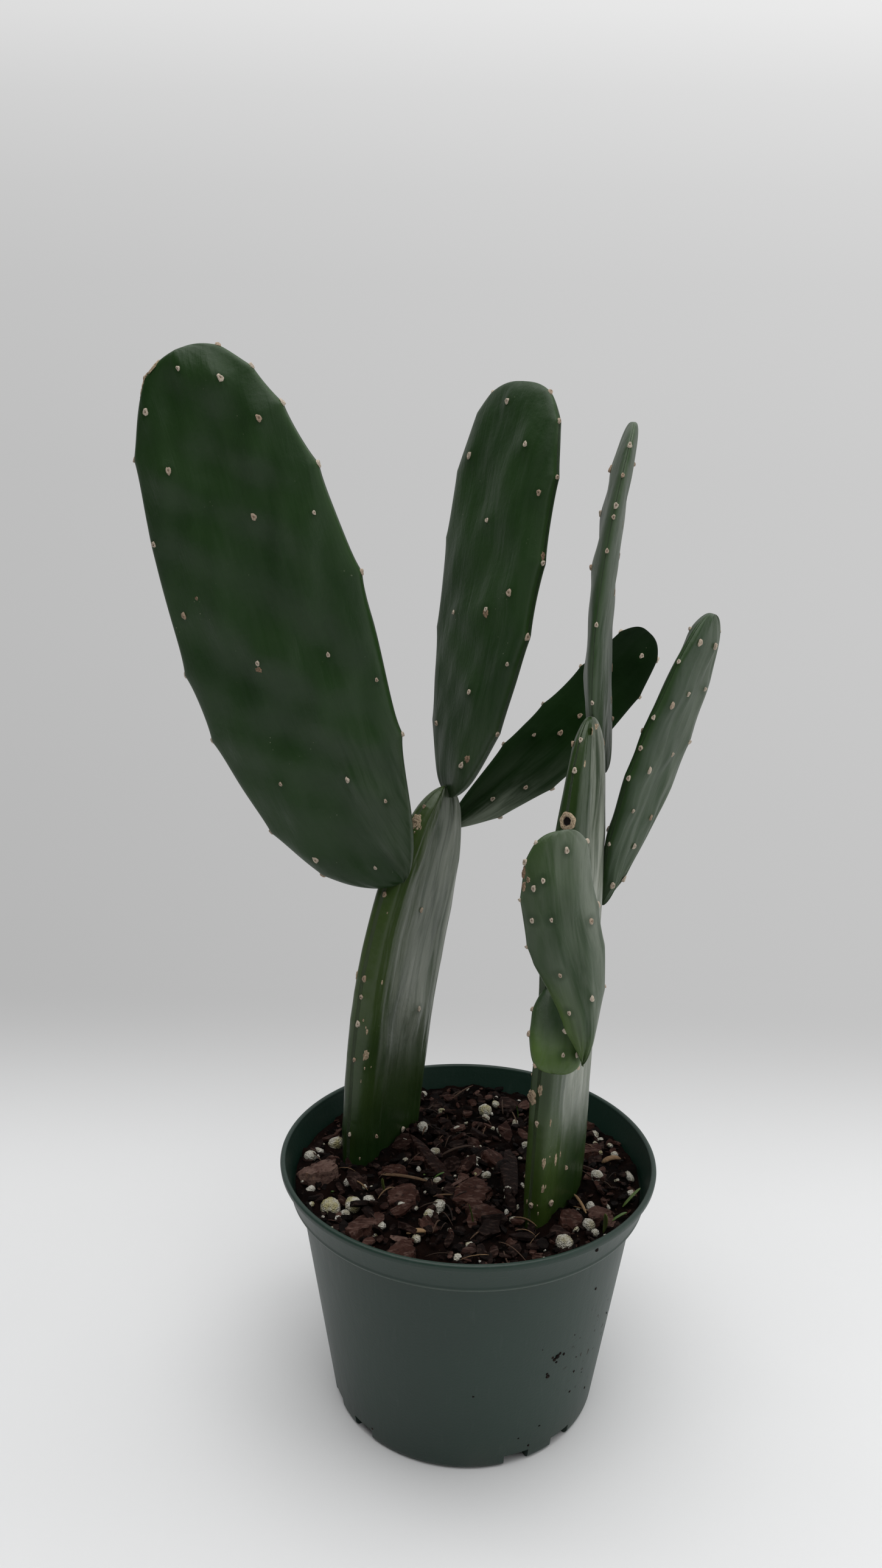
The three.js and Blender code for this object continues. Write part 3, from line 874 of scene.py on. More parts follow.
def make_joint(name):
    """The skin of one stem or paddle on a grid: rows bunched towards both ends, poles closed."""
    joint = JOINTS[name]
    t = ((1 - np.cos(math.pi * np.arange(1, ROWS) / ROWS)) / 2)[:, None]
    angle = (2 * math.pi * np.arange(SIDES) / SIDES)[None, :]
    grid = skin_points(name, t, angle)
    ends = skin_points(name, np.array([0.0, 1.0]), np.array([0.0, 0.0]), relief=False)
    points = np.concatenate([grid.reshape(-1, 3), ends])
    shape = (ROWS - 1, SIDES)
    x, y = (np.broadcast_to(part, shape) for part in section_place(joint, angle))
    t = np.broadcast_to(t, shape)
    bell = closing(t, joint["widest_at"], BELL_POWER)
    length = math.dist(joint["base"], joint["tip"]) * MM

    def with_ends(values, base_value, tip_value):
        return np.concatenate([np.asarray(values, float).ravel(), [base_value, tip_value]])

    marks = {
        "rim": with_ends(1 - np.abs(y), 0.5, 0.5),
        "wax": with_ends(wax_and_sheen_share(joint, t, x), 0, 0),
        "young": with_ends(youth_and_shade_share(joint, t, x), 0, 0),
        "near_areole": with_ends(nearness(name, t, x, y, AREOLE_SHADE_REACH), 0, 0),
    }
    u = with_ends(x * bell * joint["width"] / 2 * MM + (y < 0) * BACK_SHIFT, 0, 0)
    v = with_ends(t * length, 0, length)
    return put_mesh(name, points, stack_faces(*shape), marks, np.stack([u, v], -1))


print("points in a skin:", (ROWS - 1) * SIDES + 2)

# %% [markdown]
# ## Waxy green skin
#
# A paddle's skin is deep green under a thin wax bloom. Close to, it is never one green: broad
# cloudy patches, lengthwise streaks of pale wax with painted sheen, a yellower green at young tips
# and along a stem's near margin, painted shade round each areole, and small dry specks. Where
# the wax and sheen lie is worked out with numpy and kept as a mark on the skin; the streaks inside
# it use the skin's own UV chart, in metres, so they follow each paddle as it leans. The rear
# paddle stands in the shade of the others, and its skin is painted darker and duller: painted
# shade, darkest at its tip.

# %% Skin finishes
def skin_finish(name, deep, light, edge, young, wax, rough, gloss):
    """Waxy skin. deep and light are its two greens, edge the margin's green, young the
    yellower green of new growth, which on the rear paddle is a darker green of painted shade, and
    wax the pale grey of the bloom, with painted sheen."""
    skin = Finish(name, Specular_IOR_Level=gloss)
    place, chart = skin.place(), skin.chart()
    rim, near_areole = skin.mark("rim"), skin.mark("near_areole")
    clouds = skin.noise(place, 24.0, detail=3.0).over(0.35, 0.65)
    fine = skin.noise(place, 300.0, detail=3.0, roughness=0.6)
    streaks = skin.noise(skin.stretch(chart, (230, 24, 1)), 1.0, detail=4.0, roughness=0.6, warp=0.6)
    hair = skin.noise(skin.stretch(chart, (800, 60, 1)), 1.0, detail=2.0, warp=0.4)
    broad = skin.noise(skin.stretch(chart, (70, 13, 1), (3, 1, 0)), 1.0, detail=2.0, warp=0.5)
    patches = streaks.over(0.34, 0.6) * 0.6 + broad.over(0.38, 0.64) * 0.5 + 0.1
    # painted sheen: the pale wax cover is partly wax bloom and partly the sheen of light on faces that look
    # right
    wax_and_sheen_cover = (patches * (0.7 + 0.6 * hair) * skin.mark("wax")).clamp()
    colour = skin.mix(clouds, deep, light)
    colour = skin.mix(rim.over(0.4, 1.0) * 0.8, colour, edge)
    colour = skin.mix((skin.mark("young") * (0.6 + 0.4 * clouds)).clamp(), colour, young)
    colour = skin.mix(wax_and_sheen_cover, colour, wax)
    # painted shade: the skin is darkened in a ring round each areole
    painted_areole_shade = near_areole.over(0.2, 0.8) * (1 - near_areole.over(0.85, 0.97))
    colour = skin.mix(painted_areole_shade * 0.4, colour, deep)
    specks = 1 - skin.cells(place, 420.0).over(0.06, 0.13)
    chance = skin.noise(place, 60.0).over(0.6, 0.7)
    colour = skin.mix(specks * chance * 0.35, colour, (0.3, 0.31, 0.22))
    height = 0.35 * streaks + 0.2 * fine + 0.3 * broad
    roughness = (rough + 0.14 * streaks + 0.1 * fine - 0.1 * broad).clamp()
    return skin.wear(colour, roughness, height, depth=0.0009)


paddle_skin = skin_finish(
    "paddle_skin", deep=(0.0085, 0.029, 0.005), light=(0.0135, 0.039, 0.008),
    edge=(0.022, 0.056, 0.011), young=(0.06, 0.115, 0.014), wax=(0.125, 0.15, 0.11),
    rough=0.36, gloss=0.26,
)
# painted shade: a darker, duller copy of the paddle skin for the rear paddle, whose young colour is darker
# still and paints shade at its tip
painted_shade_skin = skin_finish(
    "painted_shade_paddle_skin", deep=(0.0045, 0.0185, 0.0028), light=(0.007, 0.024, 0.004),
    edge=(0.004, 0.0165, 0.0022), young=(0.0011, 0.006, 0.0006), wax=(0.17, 0.2, 0.15),
    rough=0.6, gloss=0.04,
)
# painted sheen: the stems' pale grey is brightened to stand for the sheen of the light at the right
stem_skin = skin_finish(
    "stem_skin", deep=(0.01, 0.029, 0.005), light=(0.019, 0.042, 0.008),
    edge=(0.019, 0.045, 0.007), young=(0.034, 0.062, 0.009), wax=(0.26, 0.28, 0.23),
    rough=0.3, gloss=0.4,
)
print("skin nodes:", len(paddle_skin.node_tree.nodes))

# %% [markdown]
# ## The nine skins
#
# Stems are older than paddles: their skin is harder, shinier and greyer with wax, and painted
# sheen adds to that grey. So the stems have one finish, the paddles another, and the rear paddle
# its own darker one, which paints its shade.

# %% Stems and paddles
for name in JOINTS:
    made = make_joint(name)
    if name.endswith("stem"):
        finish_piece(made, stem_skin, "stem_skin", name)
    else:
        paddle_finish = painted_shade_skin if name == "left_rear_paddle" else paddle_skin
        finish_piece(made, paddle_finish, "paddle_skin", name)

# %% [markdown]
# ## A copy laid on the skin
#
# An areole is a tiny felted cushion, oval, with a dimple where spines or a bud would come. A
# profile of a few rings gives the cushion, and the same profile is set down at every place at
# once: numpy lays a copy on the skin along two tangents and the normal, found by stepping a
# little each way on the skin formula. Geometry nodes could scatter copies too, but they would
# not know which margin a place is on.

# %% Places and directions on the skin
def angle_for(joint, x, face):
    """The section angle whose x is the one given, on the front (1) or the back (-1)."""
    cosine = signed_power(np.asarray(x, float), joint["section"] / 2)
    return np.arccos(np.clip(cosine, -1, 1)) * face


def areole_places(name):
    """All areoles of one joint as arrays: share along and section angle."""
    joint, sites = JOINTS[name], AREOLES[name]
    spots = [(t, angle_for(joint, x, 1)) for t, x in sites["front"]]
    spots += [(t, angle_for(joint, x, -1)) for t, x in sites["back"]]
    spots += [(t, 0.0) for t in sites["far"]] + [(t, math.pi) for t in sites["near"]]
    return np.array(spots, float)


def skin_frame(name, t, angle, step=0.004, turn=0.05):
    """Points on a joint's skin, and unit vectors along it, across it and out of it there."""
    point = skin_points(name, t, angle)
    ahead = skin_points(name, np.clip(t + step, 0, 1), angle)
    behind = skin_points(name, np.clip(t - step, 0, 1), angle)
    length_way = ahead - behind
    round_way = skin_points(name, t, angle + turn) - skin_points(name, t, angle - turn)
    length_way /= np.linalg.norm(length_way, axis=1)[:, None]
    normal = np.cross(length_way, round_way)
    normal /= np.linalg.norm(normal, axis=1)[:, None]
    base, tip, *_ = joint_directions(JOINTS[name])
    middle = base + t[:, None] * (tip - base)
    normal *= np.sign(np.einsum("ij,ij->i", normal, point - middle))[:, None]
    return point, length_way, np.cross(length_way, normal), normal


print("areoles on the big paddle:", len(areole_places("left_big_paddle")))

# %% [markdown]
# ## The cushion itself
#
# A perfect ring would look stamped, so waves push the outline in and out and tip the height,
# each with its own phase from the place along the joint. The rings are laid on the directions
# found above, and only the outermost ring dips under the skin, which hides the seam.

# %% Cushions
CUSHION_PROFILE = np.array([(0.0, 0.32), (0.3, 0.4), (0.55, 0.85), (0.8, 0.72), (1.0, -0.25)])
CUSHION_SIDES, CUSHION_HEIGHT = 12, 0.9


def cushions(name, centres, radii, height, profile, sides, rough=0.0, uneven=1.0):
    """Copies of a round profile (radius, level) on a joint's skin. centres are (t, angle)
    pairs; radii are across and along it, in mm, one pair for each. uneven is how far from
    round the outline is, and rough how broken the surface."""
    centres, radii = np.asarray(centres, float), np.asarray(radii, float)
    t, angle = centres[:, 0], centres[:, 1]
    point, length_way, side_way, normal = skin_frame(name, t, angle)
    turn = 2 * math.pi * np.arange(sides) / sides
    radius, level = profile[1:, 0][:, None], profile[1:, 1][:, None]
    seed = t[:, None, None]
    wobble = 1 + uneven * (0.12 * np.sin(3 * turn + seed * 91) + 0.08 * np.sin(5 * turn + seed * 57))
    wobble = wobble + rough * np.sin(7 * turn + seed * 140) * 0.5
    a = radius * np.cos(turn) * wobble * radii[:, 0][:, None, None] * MM
    b = radius * np.sin(turn) * wobble * radii[:, 1][:, None, None] * MM
    h = level * height * MM * (0.85 + 0.3 * np.sin(turn + seed * 33))
    broken = np.sin(9 * turn + 23 * radius + seed * 71) * np.sin(5 * turn - 31 * radius)
    h = h + rough * height * MM * broken * (radius < 0.95)
    rings = point[:, None, None] + a[..., None] * side_way[:, None, None]
    rings = rings + b[..., None] * length_way[:, None, None] + h[..., None] * normal[:, None, None]
    pole = point + profile[0, 1] * height * MM * normal
    count, per = len(t), sides * (len(profile) - 1) + 1
    points = np.concatenate([rings.reshape(count, -1, 3), pole[:, None]], axis=1)
    offset = (np.arange(count) * per)[:, None, None]
    quads = (tube_faces(len(profile) - 1, sides)[None] + offset).reshape(-1, 4)
    fans = (pole_faces(per - 1, 0, sides, True)[None] + offset).reshape(-1, 3)
    pit = np.concatenate([np.repeat(1 - profile[1:, 0], sides), [1.0]])
    age = np.repeat(np.sin(t * 977) * 0.5 + 0.5, per)
    return points.reshape(-1, 3), [quads, fans], np.tile(pit, count), age


print("faces round a cushion:", CUSHION_SIDES)

# %% [markdown]
# ## Felt on the areoles
#
# The felt is short dull wool: cream when it is young, brown when it is old, and darker in the
# dimple. Real hairs would be too small to see, so a very fine grain in the colour and the bump
# stands for them.

# %% Areole felt
felt = Finish("areole_felt", Roughness=0.95)
felt_grain = felt.noise(felt.place(), 2600.0, detail=3.0)
felt_colour = felt.mix(felt.mark("age"), (0.62, 0.54, 0.44), (0.42, 0.31, 0.22))
felt_colour = felt.mix(felt.mark("pit").over(0.55, 0.95) * 0.75, felt_colour, (0.17, 0.1, 0.06))
felt_colour = felt.mix(felt_grain * 0.5, felt_colour, (0.3, 0.22, 0.15), "MULTIPLY")
areole_felt = felt.wear(felt_colour, None, felt_grain, depth=0.0004)
print("felt nodes:", len(felt.tree.nodes))

# %% [markdown]
# ## Areoles on every joint
#
# Each joint's areoles are one mesh, laid on that joint's skin. Sizes swing by about a quarter
# from one to the next, and those of the small front paddle are all smaller.

# %% Areoles on every joint
for name in JOINTS:
    places = areole_places(name)
    swing = np.sin(places[:, 0] * 61 + places[:, 1])
    small = 0.82 if name == "right_front_paddle" else 1.0
    size = np.stack([0.92 + 0.22 * swing, 1.3 + 0.35 * swing], -1) * small
    points, faces, pit, age = cushions(
        name, places, size, CUSHION_HEIGHT, CUSHION_PROFILE, CUSHION_SIDES,
    )
    made = put_mesh(f"{name}_areoles", points, faces, {"pit": pit, "age": age**2})
    finish_piece(made, areole_felt, "stem_skin" if name.endswith("stem") else "paddle_skin")

# %% [markdown]
# ## The pot's profile
#
# A nursery pot is one thin moulding. Its half-section is a line: out along the base, up the
# tapered wall, round a collar and over a rolled lip, then back down the inside. Only the
# corners are given; each is rounded by a short curve, as a mould needs.

# %% Pot profile
SLOT_CENTRES = [-56 + 90 * pair + side for pair in range(4) for side in (-11, 11)]
POT_COLUMNS = 540
SLOT_COLUMNS = 16
LIP_CENTRE, LIP_ROUND = (81.3, 111.5), 1.2


def rounded(corners, steps=4):
    """A line through corners (r, z, cut). Each inner corner c becomes the quadratic curve
    (1-u)^2 a + 2u(1-u) c + u^2 b, where a and b lie a cut's length before and after it."""
    spots, cuts = np.array(corners, float)[:, :2], np.array(corners, float)[:, 2]
    u = np.linspace(0, 1, steps)[:, None]
    line = [spots[:1]]
    for before, here, after, cut in zip(spots, spots[1:], spots[2:], cuts[1:]):
        a = here + (before - here) * cut / np.linalg.norm(before - here)
        b = here + (after - here) * cut / np.linalg.norm(after - here)
        line.append((1 - u) ** 2 * a + 2 * u * (1 - u) * here + u**2 * b)
    line.append(spots[-1:])
    return np.concatenate(line)


def between(first, last, count):
    """count points evenly inside the straight stretch from first to last."""
    share = (np.arange(1, count + 1) / (count + 1))[:, None]
    return np.array(first) + share * (np.array(last) - np.array(first))


slot_outside = rounded([(54.1, 0, 0), (57.5, 0, 0.9), (59.1, 1.6, 0.9), (59.71, 5.5, 0)])
slot_inside = rounded([(57.88, 5.5, 0), (57.5, 3.2, 0.9), (55.9, 1.6, 0.9), (54.1, 1.6, 0)])
collar = rounded([
    (73.6, 95.0, 0), (73.8, 96.0, 0.5), (77.6, 98.2, 0.8), (78.1, 99.3, 0.5), (77.9, 100.2, 0.5),
    (80.7, 109.5, 0.5), (82.3, 110.0, 0.2), (82.5, 111.5, 0),
])
lip_turn = np.linspace(0, math.pi, 10)[1:]
lip_reach = LIP_CENTRE[0] + LIP_ROUND * np.cos(lip_turn)
lip = np.stack([lip_reach, LIP_CENTRE[1] + LIP_ROUND * np.sin(lip_turn)], -1)
inner_collar = rounded([
    (79.9, 110.8, 0), (79.5, 109.5, 0.6), (76.3, 97.6, 1.0), (72.4, 94.4, 1.5), (72.2, 93.0, 0),
])
pot_line = np.concatenate([
    between((4, 0), (54.1, 0), 4), slot_outside, between(slot_outside[-1], collar[0], 14), collar,
    lip, inner_collar, between(inner_collar[-1], slot_inside[0], 10), slot_inside,
    between((54.1, 1.6), (4, 1.6), 4),
])
outer_start = 4
outer_end = outer_start + len(slot_outside) - 1
inner_start = len(pot_line) - 4 - len(slot_inside)
print("pot profile:", len(pot_line), "points")

# %% [markdown]
# ## The pot's mesh
#
# Spinning the profile makes the whole pot. The drain slots are cut without a boolean, which
# would leave long thin faces: the grid's cells that fall in a slot are left out, and the open
# edges are joined by new faces across the wall, so the mesh stays clean and closed.

# %% Pot mesh
def pot_surface():
    """The profile (r, z) turned about Z: x = r cos a, y = r sin a; slot cells left out and
    their edges bridged."""
    rows = len(pot_line)
    angle = 2 * math.pi * (np.arange(POT_COLUMNS) + 0.5) / POT_COLUMNS
    radius, height = pot_line[:, 0][:, None], pot_line[:, 1][:, None]
    grid = np.stack([radius * np.cos(angle), radius * np.sin(angle), height + 0 * angle], -1) * MM
    poles = np.array([[0, 0, pot_line[0, 1]], [0, 0, pot_line[-1, 1]]]) * MM
    points = np.concatenate([grid.reshape(-1, 3), poles])
    quads, fans = stack_faces(rows, POT_COLUMNS)
    cells = quads.reshape(rows - 1, POT_COLUMNS, 4)
    keep = np.ones((rows - 1, POT_COLUMNS), bool)
    bridges = []
    depth = outer_end - outer_start
    outside = np.arange(outer_start, outer_end + 1)
    inside = np.arange(inner_start + depth, inner_start - 1, -1)
    for centre in SLOT_CENTRES:
        first = round(centre / 360 * POT_COLUMNS - 0.5 - SLOT_COLUMNS / 2)
        across = np.arange(first, first + SLOT_COLUMNS + 1) % POT_COLUMNS
        a, b = across[:-1], across[1:]
        for start in (outer_start, inner_start):
            keep[start:start + depth, a] = False
        top_out, top_in = outer_end * POT_COLUMNS, inner_start * POT_COLUMNS
        foot_out, foot_in = outer_start * POT_COLUMNS, (inner_start + depth) * POT_COLUMNS
        bridges.append(np.stack([top_out + b, top_out + a, top_in + a, top_in + b], -1))
        bridges.append(np.stack([foot_out + a, foot_out + b, foot_in + b, foot_in + a], -1))
        out_rows, in_rows = outside * POT_COLUMNS, inside * POT_COLUMNS
        j, k = across[0], across[-1]
        out_low, out_high = out_rows[:-1], out_rows[1:]
        in_low, in_high = in_rows[:-1], in_rows[1:]
        bridges.append(np.stack([out_high + j, out_low + j, in_low + j, in_high + j], -1))
        bridges.append(np.stack([out_low + k, out_high + k, in_high + k, in_low + k], -1))
    return points, [np.concatenate([cells[keep], *bridges]), fans]


pot_points, pot_faces = pot_surface()
pot = put_mesh("pot", pot_points, pot_faces, sharp_angle=40)
print("pot faces:", len(pot.data.polygons))

# %% [markdown]
# ## Satin green plastic
#
# Recycled nursery plastic is dark green with a satin skin. It shows faint clouds from the
# melt, fine upright rubs from handling, a painted highlight along the edge where the collar steps
# out, and a few splashes of dried mix low on one side.

# %% Pot plastic
plastic = Finish("pot_plastic", Specular_IOR_Level=0.42)
spot = plastic.place()
level = plastic.split(spot, "Z")
melt = plastic.noise(spot, 16.0, detail=4.0, roughness=0.55)
rubs = plastic.noise(plastic.stretch(spot, (420, 420, 18)), 1.0, detail=3.0)
grain = plastic.noise(spot, 900.0, detail=2.0)
plastic_colour = plastic.mix(melt.over(0.3, 0.7), (0.0055, 0.0225, 0.0145), (0.0085, 0.0285, 0.019))
plastic_colour = plastic.mix(rubs.over(0.58, 0.8) * 0.12, plastic_colour, (0.07, 0.09, 0.08))
# painted highlight: a pale line along the edge where the collar steps out
collar_highlight = level.over(0.0972, 0.0984) * (1 - level.over(0.0988, 0.0996))
plastic_colour = plastic.mix(collar_highlight * (0.25 + 0.5 * melt), plastic_colour, (0.07, 0.095, 0.075))
low_side = plastic.node(
    "ShaderNodeVectorMath", {"operation": "DISTANCE"}, {0: spot, 1: (0.055, -0.036, 0.045)}, out="Value",
)
splash_room = 1 - low_side.over(0.008, 0.03)
splashes = plastic.noise(spot, 330.0, detail=2.0).over(0.66, 0.7)
plastic_colour = plastic.mix(splashes * splash_room * 0.85, plastic_colour, (0.02, 0.011, 0.007))
dust = (1 - level.over(0.0, 0.02)) * melt.over(0.45, 0.7)
plastic_colour = plastic.mix(dust * 0.25, plastic_colour, (0.06, 0.055, 0.045))
pot_plastic = plastic.wear(
    plastic_colour, (0.34 + 0.14 * melt + 0.08 * rubs + 0.3 * splashes * splash_room).clamp(),
    0.35 * grain + 0.3 * melt + 0.35 * rubs, depth=0.00016,
)
finish_piece(pot, pot_plastic, "pot_plastic", "pot")

# %% [markdown]
# ## The potting mix
#
# The mix is peat and composted bark. Its top is a disc of small clods, so the surface is a
# polar grid whose height is the highest of many little domes scattered over it, the way the
# top of a heap of gravel is. The same piece runs down inside the pot and closes underneath.

# %% Clods
MIX_LEVEL, MIX_EDGE = 102.0, 76.0
MIX_RINGS, MIX_SIDES = 110, 288
scatter = np.random.default_rng(7)


def ripple(x, y):
    """The gentle unevenness of the mix, mm: 1.1 (sin x cos y + a half of sin (x + y))."""
    return 1.1 * (np.sin(x / 9 + 1.3) * np.cos(y / 11) + 0.5 * np.sin((x + y) / 6))


def disc_places(count, reach):
    """Places spread evenly over a disc: radius = reach sqrt(u), at any angle."""
    radius, turn = reach * np.sqrt(scatter.random(count)), 2 * math.pi * scatter.random(count)
    return np.stack([radius * np.cos(turn), radius * np.sin(turn)], -1)


def clods(x, y, count, radius, height):
    """The highest of count domes at each place: height sqrt(1 - (distance / radius)^2)."""
    centres = disc_places(count, MIX_EDGE)
    widths = radius * (0.6 + 0.8 * scatter.random(count))
    tall = height * (0.3 + 0.7 * scatter.random(count))
    top = np.zeros(x.shape)
    for start in range(0, count, 100):
        part = slice(start, start + 100)
        gap = np.hypot(x[..., None] - centres[part, 0], y[..., None] - centres[part, 1]) / widths[part]
        domes = tall[part] * np.sqrt(np.clip(1 - gap**2, 0, 1))
        top = np.maximum(top, domes.max(-1))
    return top


print("unevenness at the middle, mm:", round(float(ripple(0.0, 0.0)), 2))

# %% [markdown]
# ## The surface of the mix
#
# Coarse clods and fine ones are two calls of the same function, added up. The mix banks up a
# little against the wall, as it does after filling, and the rings that follow the top go down
# inside the pot, so that the piece is closed where no one looks.

# %% Potting mix surface
BANK_HEIGHT, BANK_FROM = 1.6, 66.0
CLOD_SINK = 2.1  # how far the even surface lies below the mix's level, so that clods reach it
MIX_BOTTOM = 1.9


def mix_surface():
    """Polar top z = level + ripple + clods, then the sides inside the pot, then the bottom."""
    radius = MIX_EDGE * np.linspace(0, 1, MIX_RINGS + 1)[1:][:, None]
    turn = 2 * math.pi * np.arange(MIX_SIDES)[None, :] / MIX_SIDES
    x, y = radius * np.cos(turn), radius * np.sin(turn)
    lumps_top = clods(x, y, 600, 4.0, 2.6) + clods(x, y, 1600, 1.7, 1.3)
    rise_out = np.clip((radius - BANK_FROM) / (MIX_EDGE - BANK_FROM), 0, 1)
    bank = BANK_HEIGHT * rise_out * (0.55 + 0.45 * np.sin(turn))
    z = MIX_LEVEL - CLOD_SINK + ripple(x, y) + lumps_top + bank
    top = np.stack([x, y, z], -1)
    side_line = np.array([(75.95, 98.2), (72.1, 94.3), (57.2, 3.4), (55.6, MIX_BOTTOM)])
    side_radius, side_z = side_line[:, 0][:, None], side_line[:, 1][:, None]
    side = np.stack([side_radius * np.cos(turn), side_radius * np.sin(turn), side_z + 0 * turn], -1)
    rings = np.concatenate([top, side])
    poles = np.array([[0, 0, top[0, :, 2].mean()], [0, 0, MIX_BOTTOM]])
    points = np.concatenate([rings.reshape(-1, 3), poles]) * MM
    return points, stack_faces(len(rings), MIX_SIDES)


mix_points, mix_faces = mix_surface()
potting_mix = put_mesh("potting_mix", mix_points, mix_faces)

# %% [markdown]
# ## Dark damp peat
#
# Peat is nearly black and quite dull, with brown crumbs and a few pale fibres. The clods are
# real shape; everything finer than about a millimetre is noise in the colour and the bump, which
# costs no faces.

# %% Mix finish
peat = Finish("potting_mix", Specular_IOR_Level=0.05)
peat_place = peat.place()
crumbs = peat.noise(peat_place, 420.0, detail=6.0, roughness=0.7)
clumps = peat.noise(peat_place, 90.0, detail=3.0)
peat_colour = peat.mix(clumps.over(0.35, 0.65), (0.0014, 0.0006, 0.0004), (0.0065, 0.0026, 0.0017))
peat_colour = peat.mix(crumbs.over(0.55, 0.75) * 0.5, peat_colour, (0.024, 0.0105, 0.0075))
fibres = peat.noise(peat.stretch(peat_place, (1100, 160, 300)), 1.0, detail=2.0).over(0.7, 0.78)
peat_colour = peat.mix(fibres * 0.5, peat_colour, (0.13, 0.085, 0.05))
peat_finish = peat.wear(peat_colour, (0.7 + 0.3 * clumps).clamp(), crumbs + 0.5 * clumps, depth=0.0012)
finish_piece(potting_mix, peat_finish, "potting_mix", "potting_mix")

# %% [markdown]
# ## Loose pieces, one lump formula
#
# Bark flakes, perlite grains and crumbs are all lumps: a ball whose outline is pushed in and
# out at random, squared off, then flattened and turned. A flake is flat and square-edged, and
# a grain is round. One function makes a whole crowd of them as a single array, each with few
# faces, and the same function with a finer grid makes the larger ones.

# %% Faces and turns of a crowd
def crowd_faces(count, rings, sides):
    """Faces of count stacks of rings, one stack after another."""
    offset = (np.arange(count) * (rings * sides + 2))[:, None, None]
    quads, fans = stack_faces(rings, sides)
    return [(quads[None] + offset).reshape(-1, 4), (fans[None] + offset).reshape(-1, 3)]


def turns(headings, tilts):
    """For each lump three rotation matrices: heading about Z, lean about Y and tilt about X."""
    tilt, lean = tilts[:, 0], tilts[:, 1]
    zero, one = np.zeros(len(tilts)), np.ones(len(tilts))
    turn = [[np.cos(headings), -np.sin(headings), zero], [np.sin(headings), np.cos(headings), zero],
            [zero, zero, one]]
    pitch = [[np.cos(lean), zero, np.sin(lean)], [zero, one, zero], [-np.sin(lean), zero, np.cos(lean)]]
    roll = [[one, zero, zero], [zero, np.cos(tilt), -np.sin(tilt)], [zero, np.sin(tilt), np.cos(tilt)]]
    return np.array(turn), np.array(pitch), np.array(roll)


print("turns for one lump:", [part.shape for part in turns(np.zeros(1), np.zeros((1, 2)))])

# %% [markdown]
# ## The lump formula
#
# A ball made of rings is pushed about in three ways: waves round the outline give a few large
# corners, a chance number at each point breaks the surface, and a slope shears it. Every lump
# in a crowd has its own numbers, so one call makes hundreds and no two are alike.

# %% Lump maker
def lumps(places, sizes, headings, tilts, rings=3, sides=7, squareness=0.5, rough=0.18, chunky=0.0):
    """Superellipsoids x = cos^e v cos a, z = sin^e v, whose radius is scaled by waves round
    the outline and by chance, sized, tilted, turned to a heading and set in place, all in mm."""
    count = len(places)
    v = np.linspace(-math.pi / 2, math.pi / 2, rings + 2)[1:-1]
    a = 2 * math.pi * np.arange(sides) / sides
    ring = np.cos(v)[:, None] ** squareness
    level = signed_power(np.sin(v), squareness)[:, None]
    outline = np.ones((count, 1, sides))
    for waves in (2, 3, 5, 8):
        swing = rough * 1.4 / waves**0.5 * (scatter.random((count, 1, 1)) - 0.2)
        outline = outline + swing * np.sin(waves * a + 2 * math.pi * scatter.random((count, 1, 1)))
    chance = 1 + rough * (scatter.random((count, rings, sides)) - 0.5)
    x = ring * np.cos(a) * outline * chance
    y = ring * np.sin(a) * outline * chance
    z = level * (1 + rough * (scatter.random((count, rings, sides)) - 0.5)) + 0 * a
    slope = chunky * (scatter.random((count, 1, 1)) - 0.5)
    z = z + slope * x
    body = np.stack([x, y, z], -1).reshape(count, -1, 3)
    poles = np.array([[0, 0, -1.0], [0, 0, 1.0]]) * (1 - 0.3 * rough)
    body = np.concatenate([body, np.broadcast_to(poles, (count, 2, 3))], 1)
    body = body * (np.asarray(sizes)[:, None] / 2)
    body = np.einsum("ijn,jkn,kln,npl->npi", *turns(headings, tilts), body)
    points = (body + np.asarray(places)[:, None]) * MM
    tint = np.repeat(scatter.random(count), rings * sides + 2)
    return points.reshape(-1, 3), crowd_faces(count, rings, sides), tint


print("lump maker ready")

# %% [markdown]
# ## Where loose pieces lie
#
# Loose pieces lie anywhere on the mix except inside a stem. A stem's footprint is its section
# where it passes the mix, taken as a rectangle, and a place is kept when it is far enough from
# both. Sizes fall off steeply, as when a heap is sieved: many crumbs and only a few flakes.

# %% Clear places and crowds
def stem_gap(name, x, y):
    """How far a place on the mix is from a stem's footprint, mm; less than 0 is inside it."""
    joint = JOINTS[name]
    base, tip, _, across, out = joint_directions(joint)
    share = (MIX_LEVEL * MM - base[2]) / (tip[2] - base[2])
    bend = joint.get("sway", 0) * across + joint.get("bow", 0) * out
    middle = base + share * (tip - base) + 4 * share * (1 - share) * bend * MM
    dx, dy = x - middle[0] / MM, y - middle[1] / MM
    wide, deep = dx * across[0] + dy * across[1], dx * out[0] + dy * out[1]
    beyond = np.stack([np.abs(wide) - joint["width"] / 2, np.abs(deep) - joint["thickness"] / 2])
    return np.hypot(*np.clip(beyond, 0, None)) + np.minimum(beyond.max(0), 0)


def free_places(count, reach, clearance):
    """Places on the mix that keep clear of both stems."""
    places = disc_places(count * 2, reach)
    gap = np.minimum(*(stem_gap(name, places[:, 0], places[:, 1]) for name in ("left_stem", "right_stem")))
    return places[gap > clearance][:count]


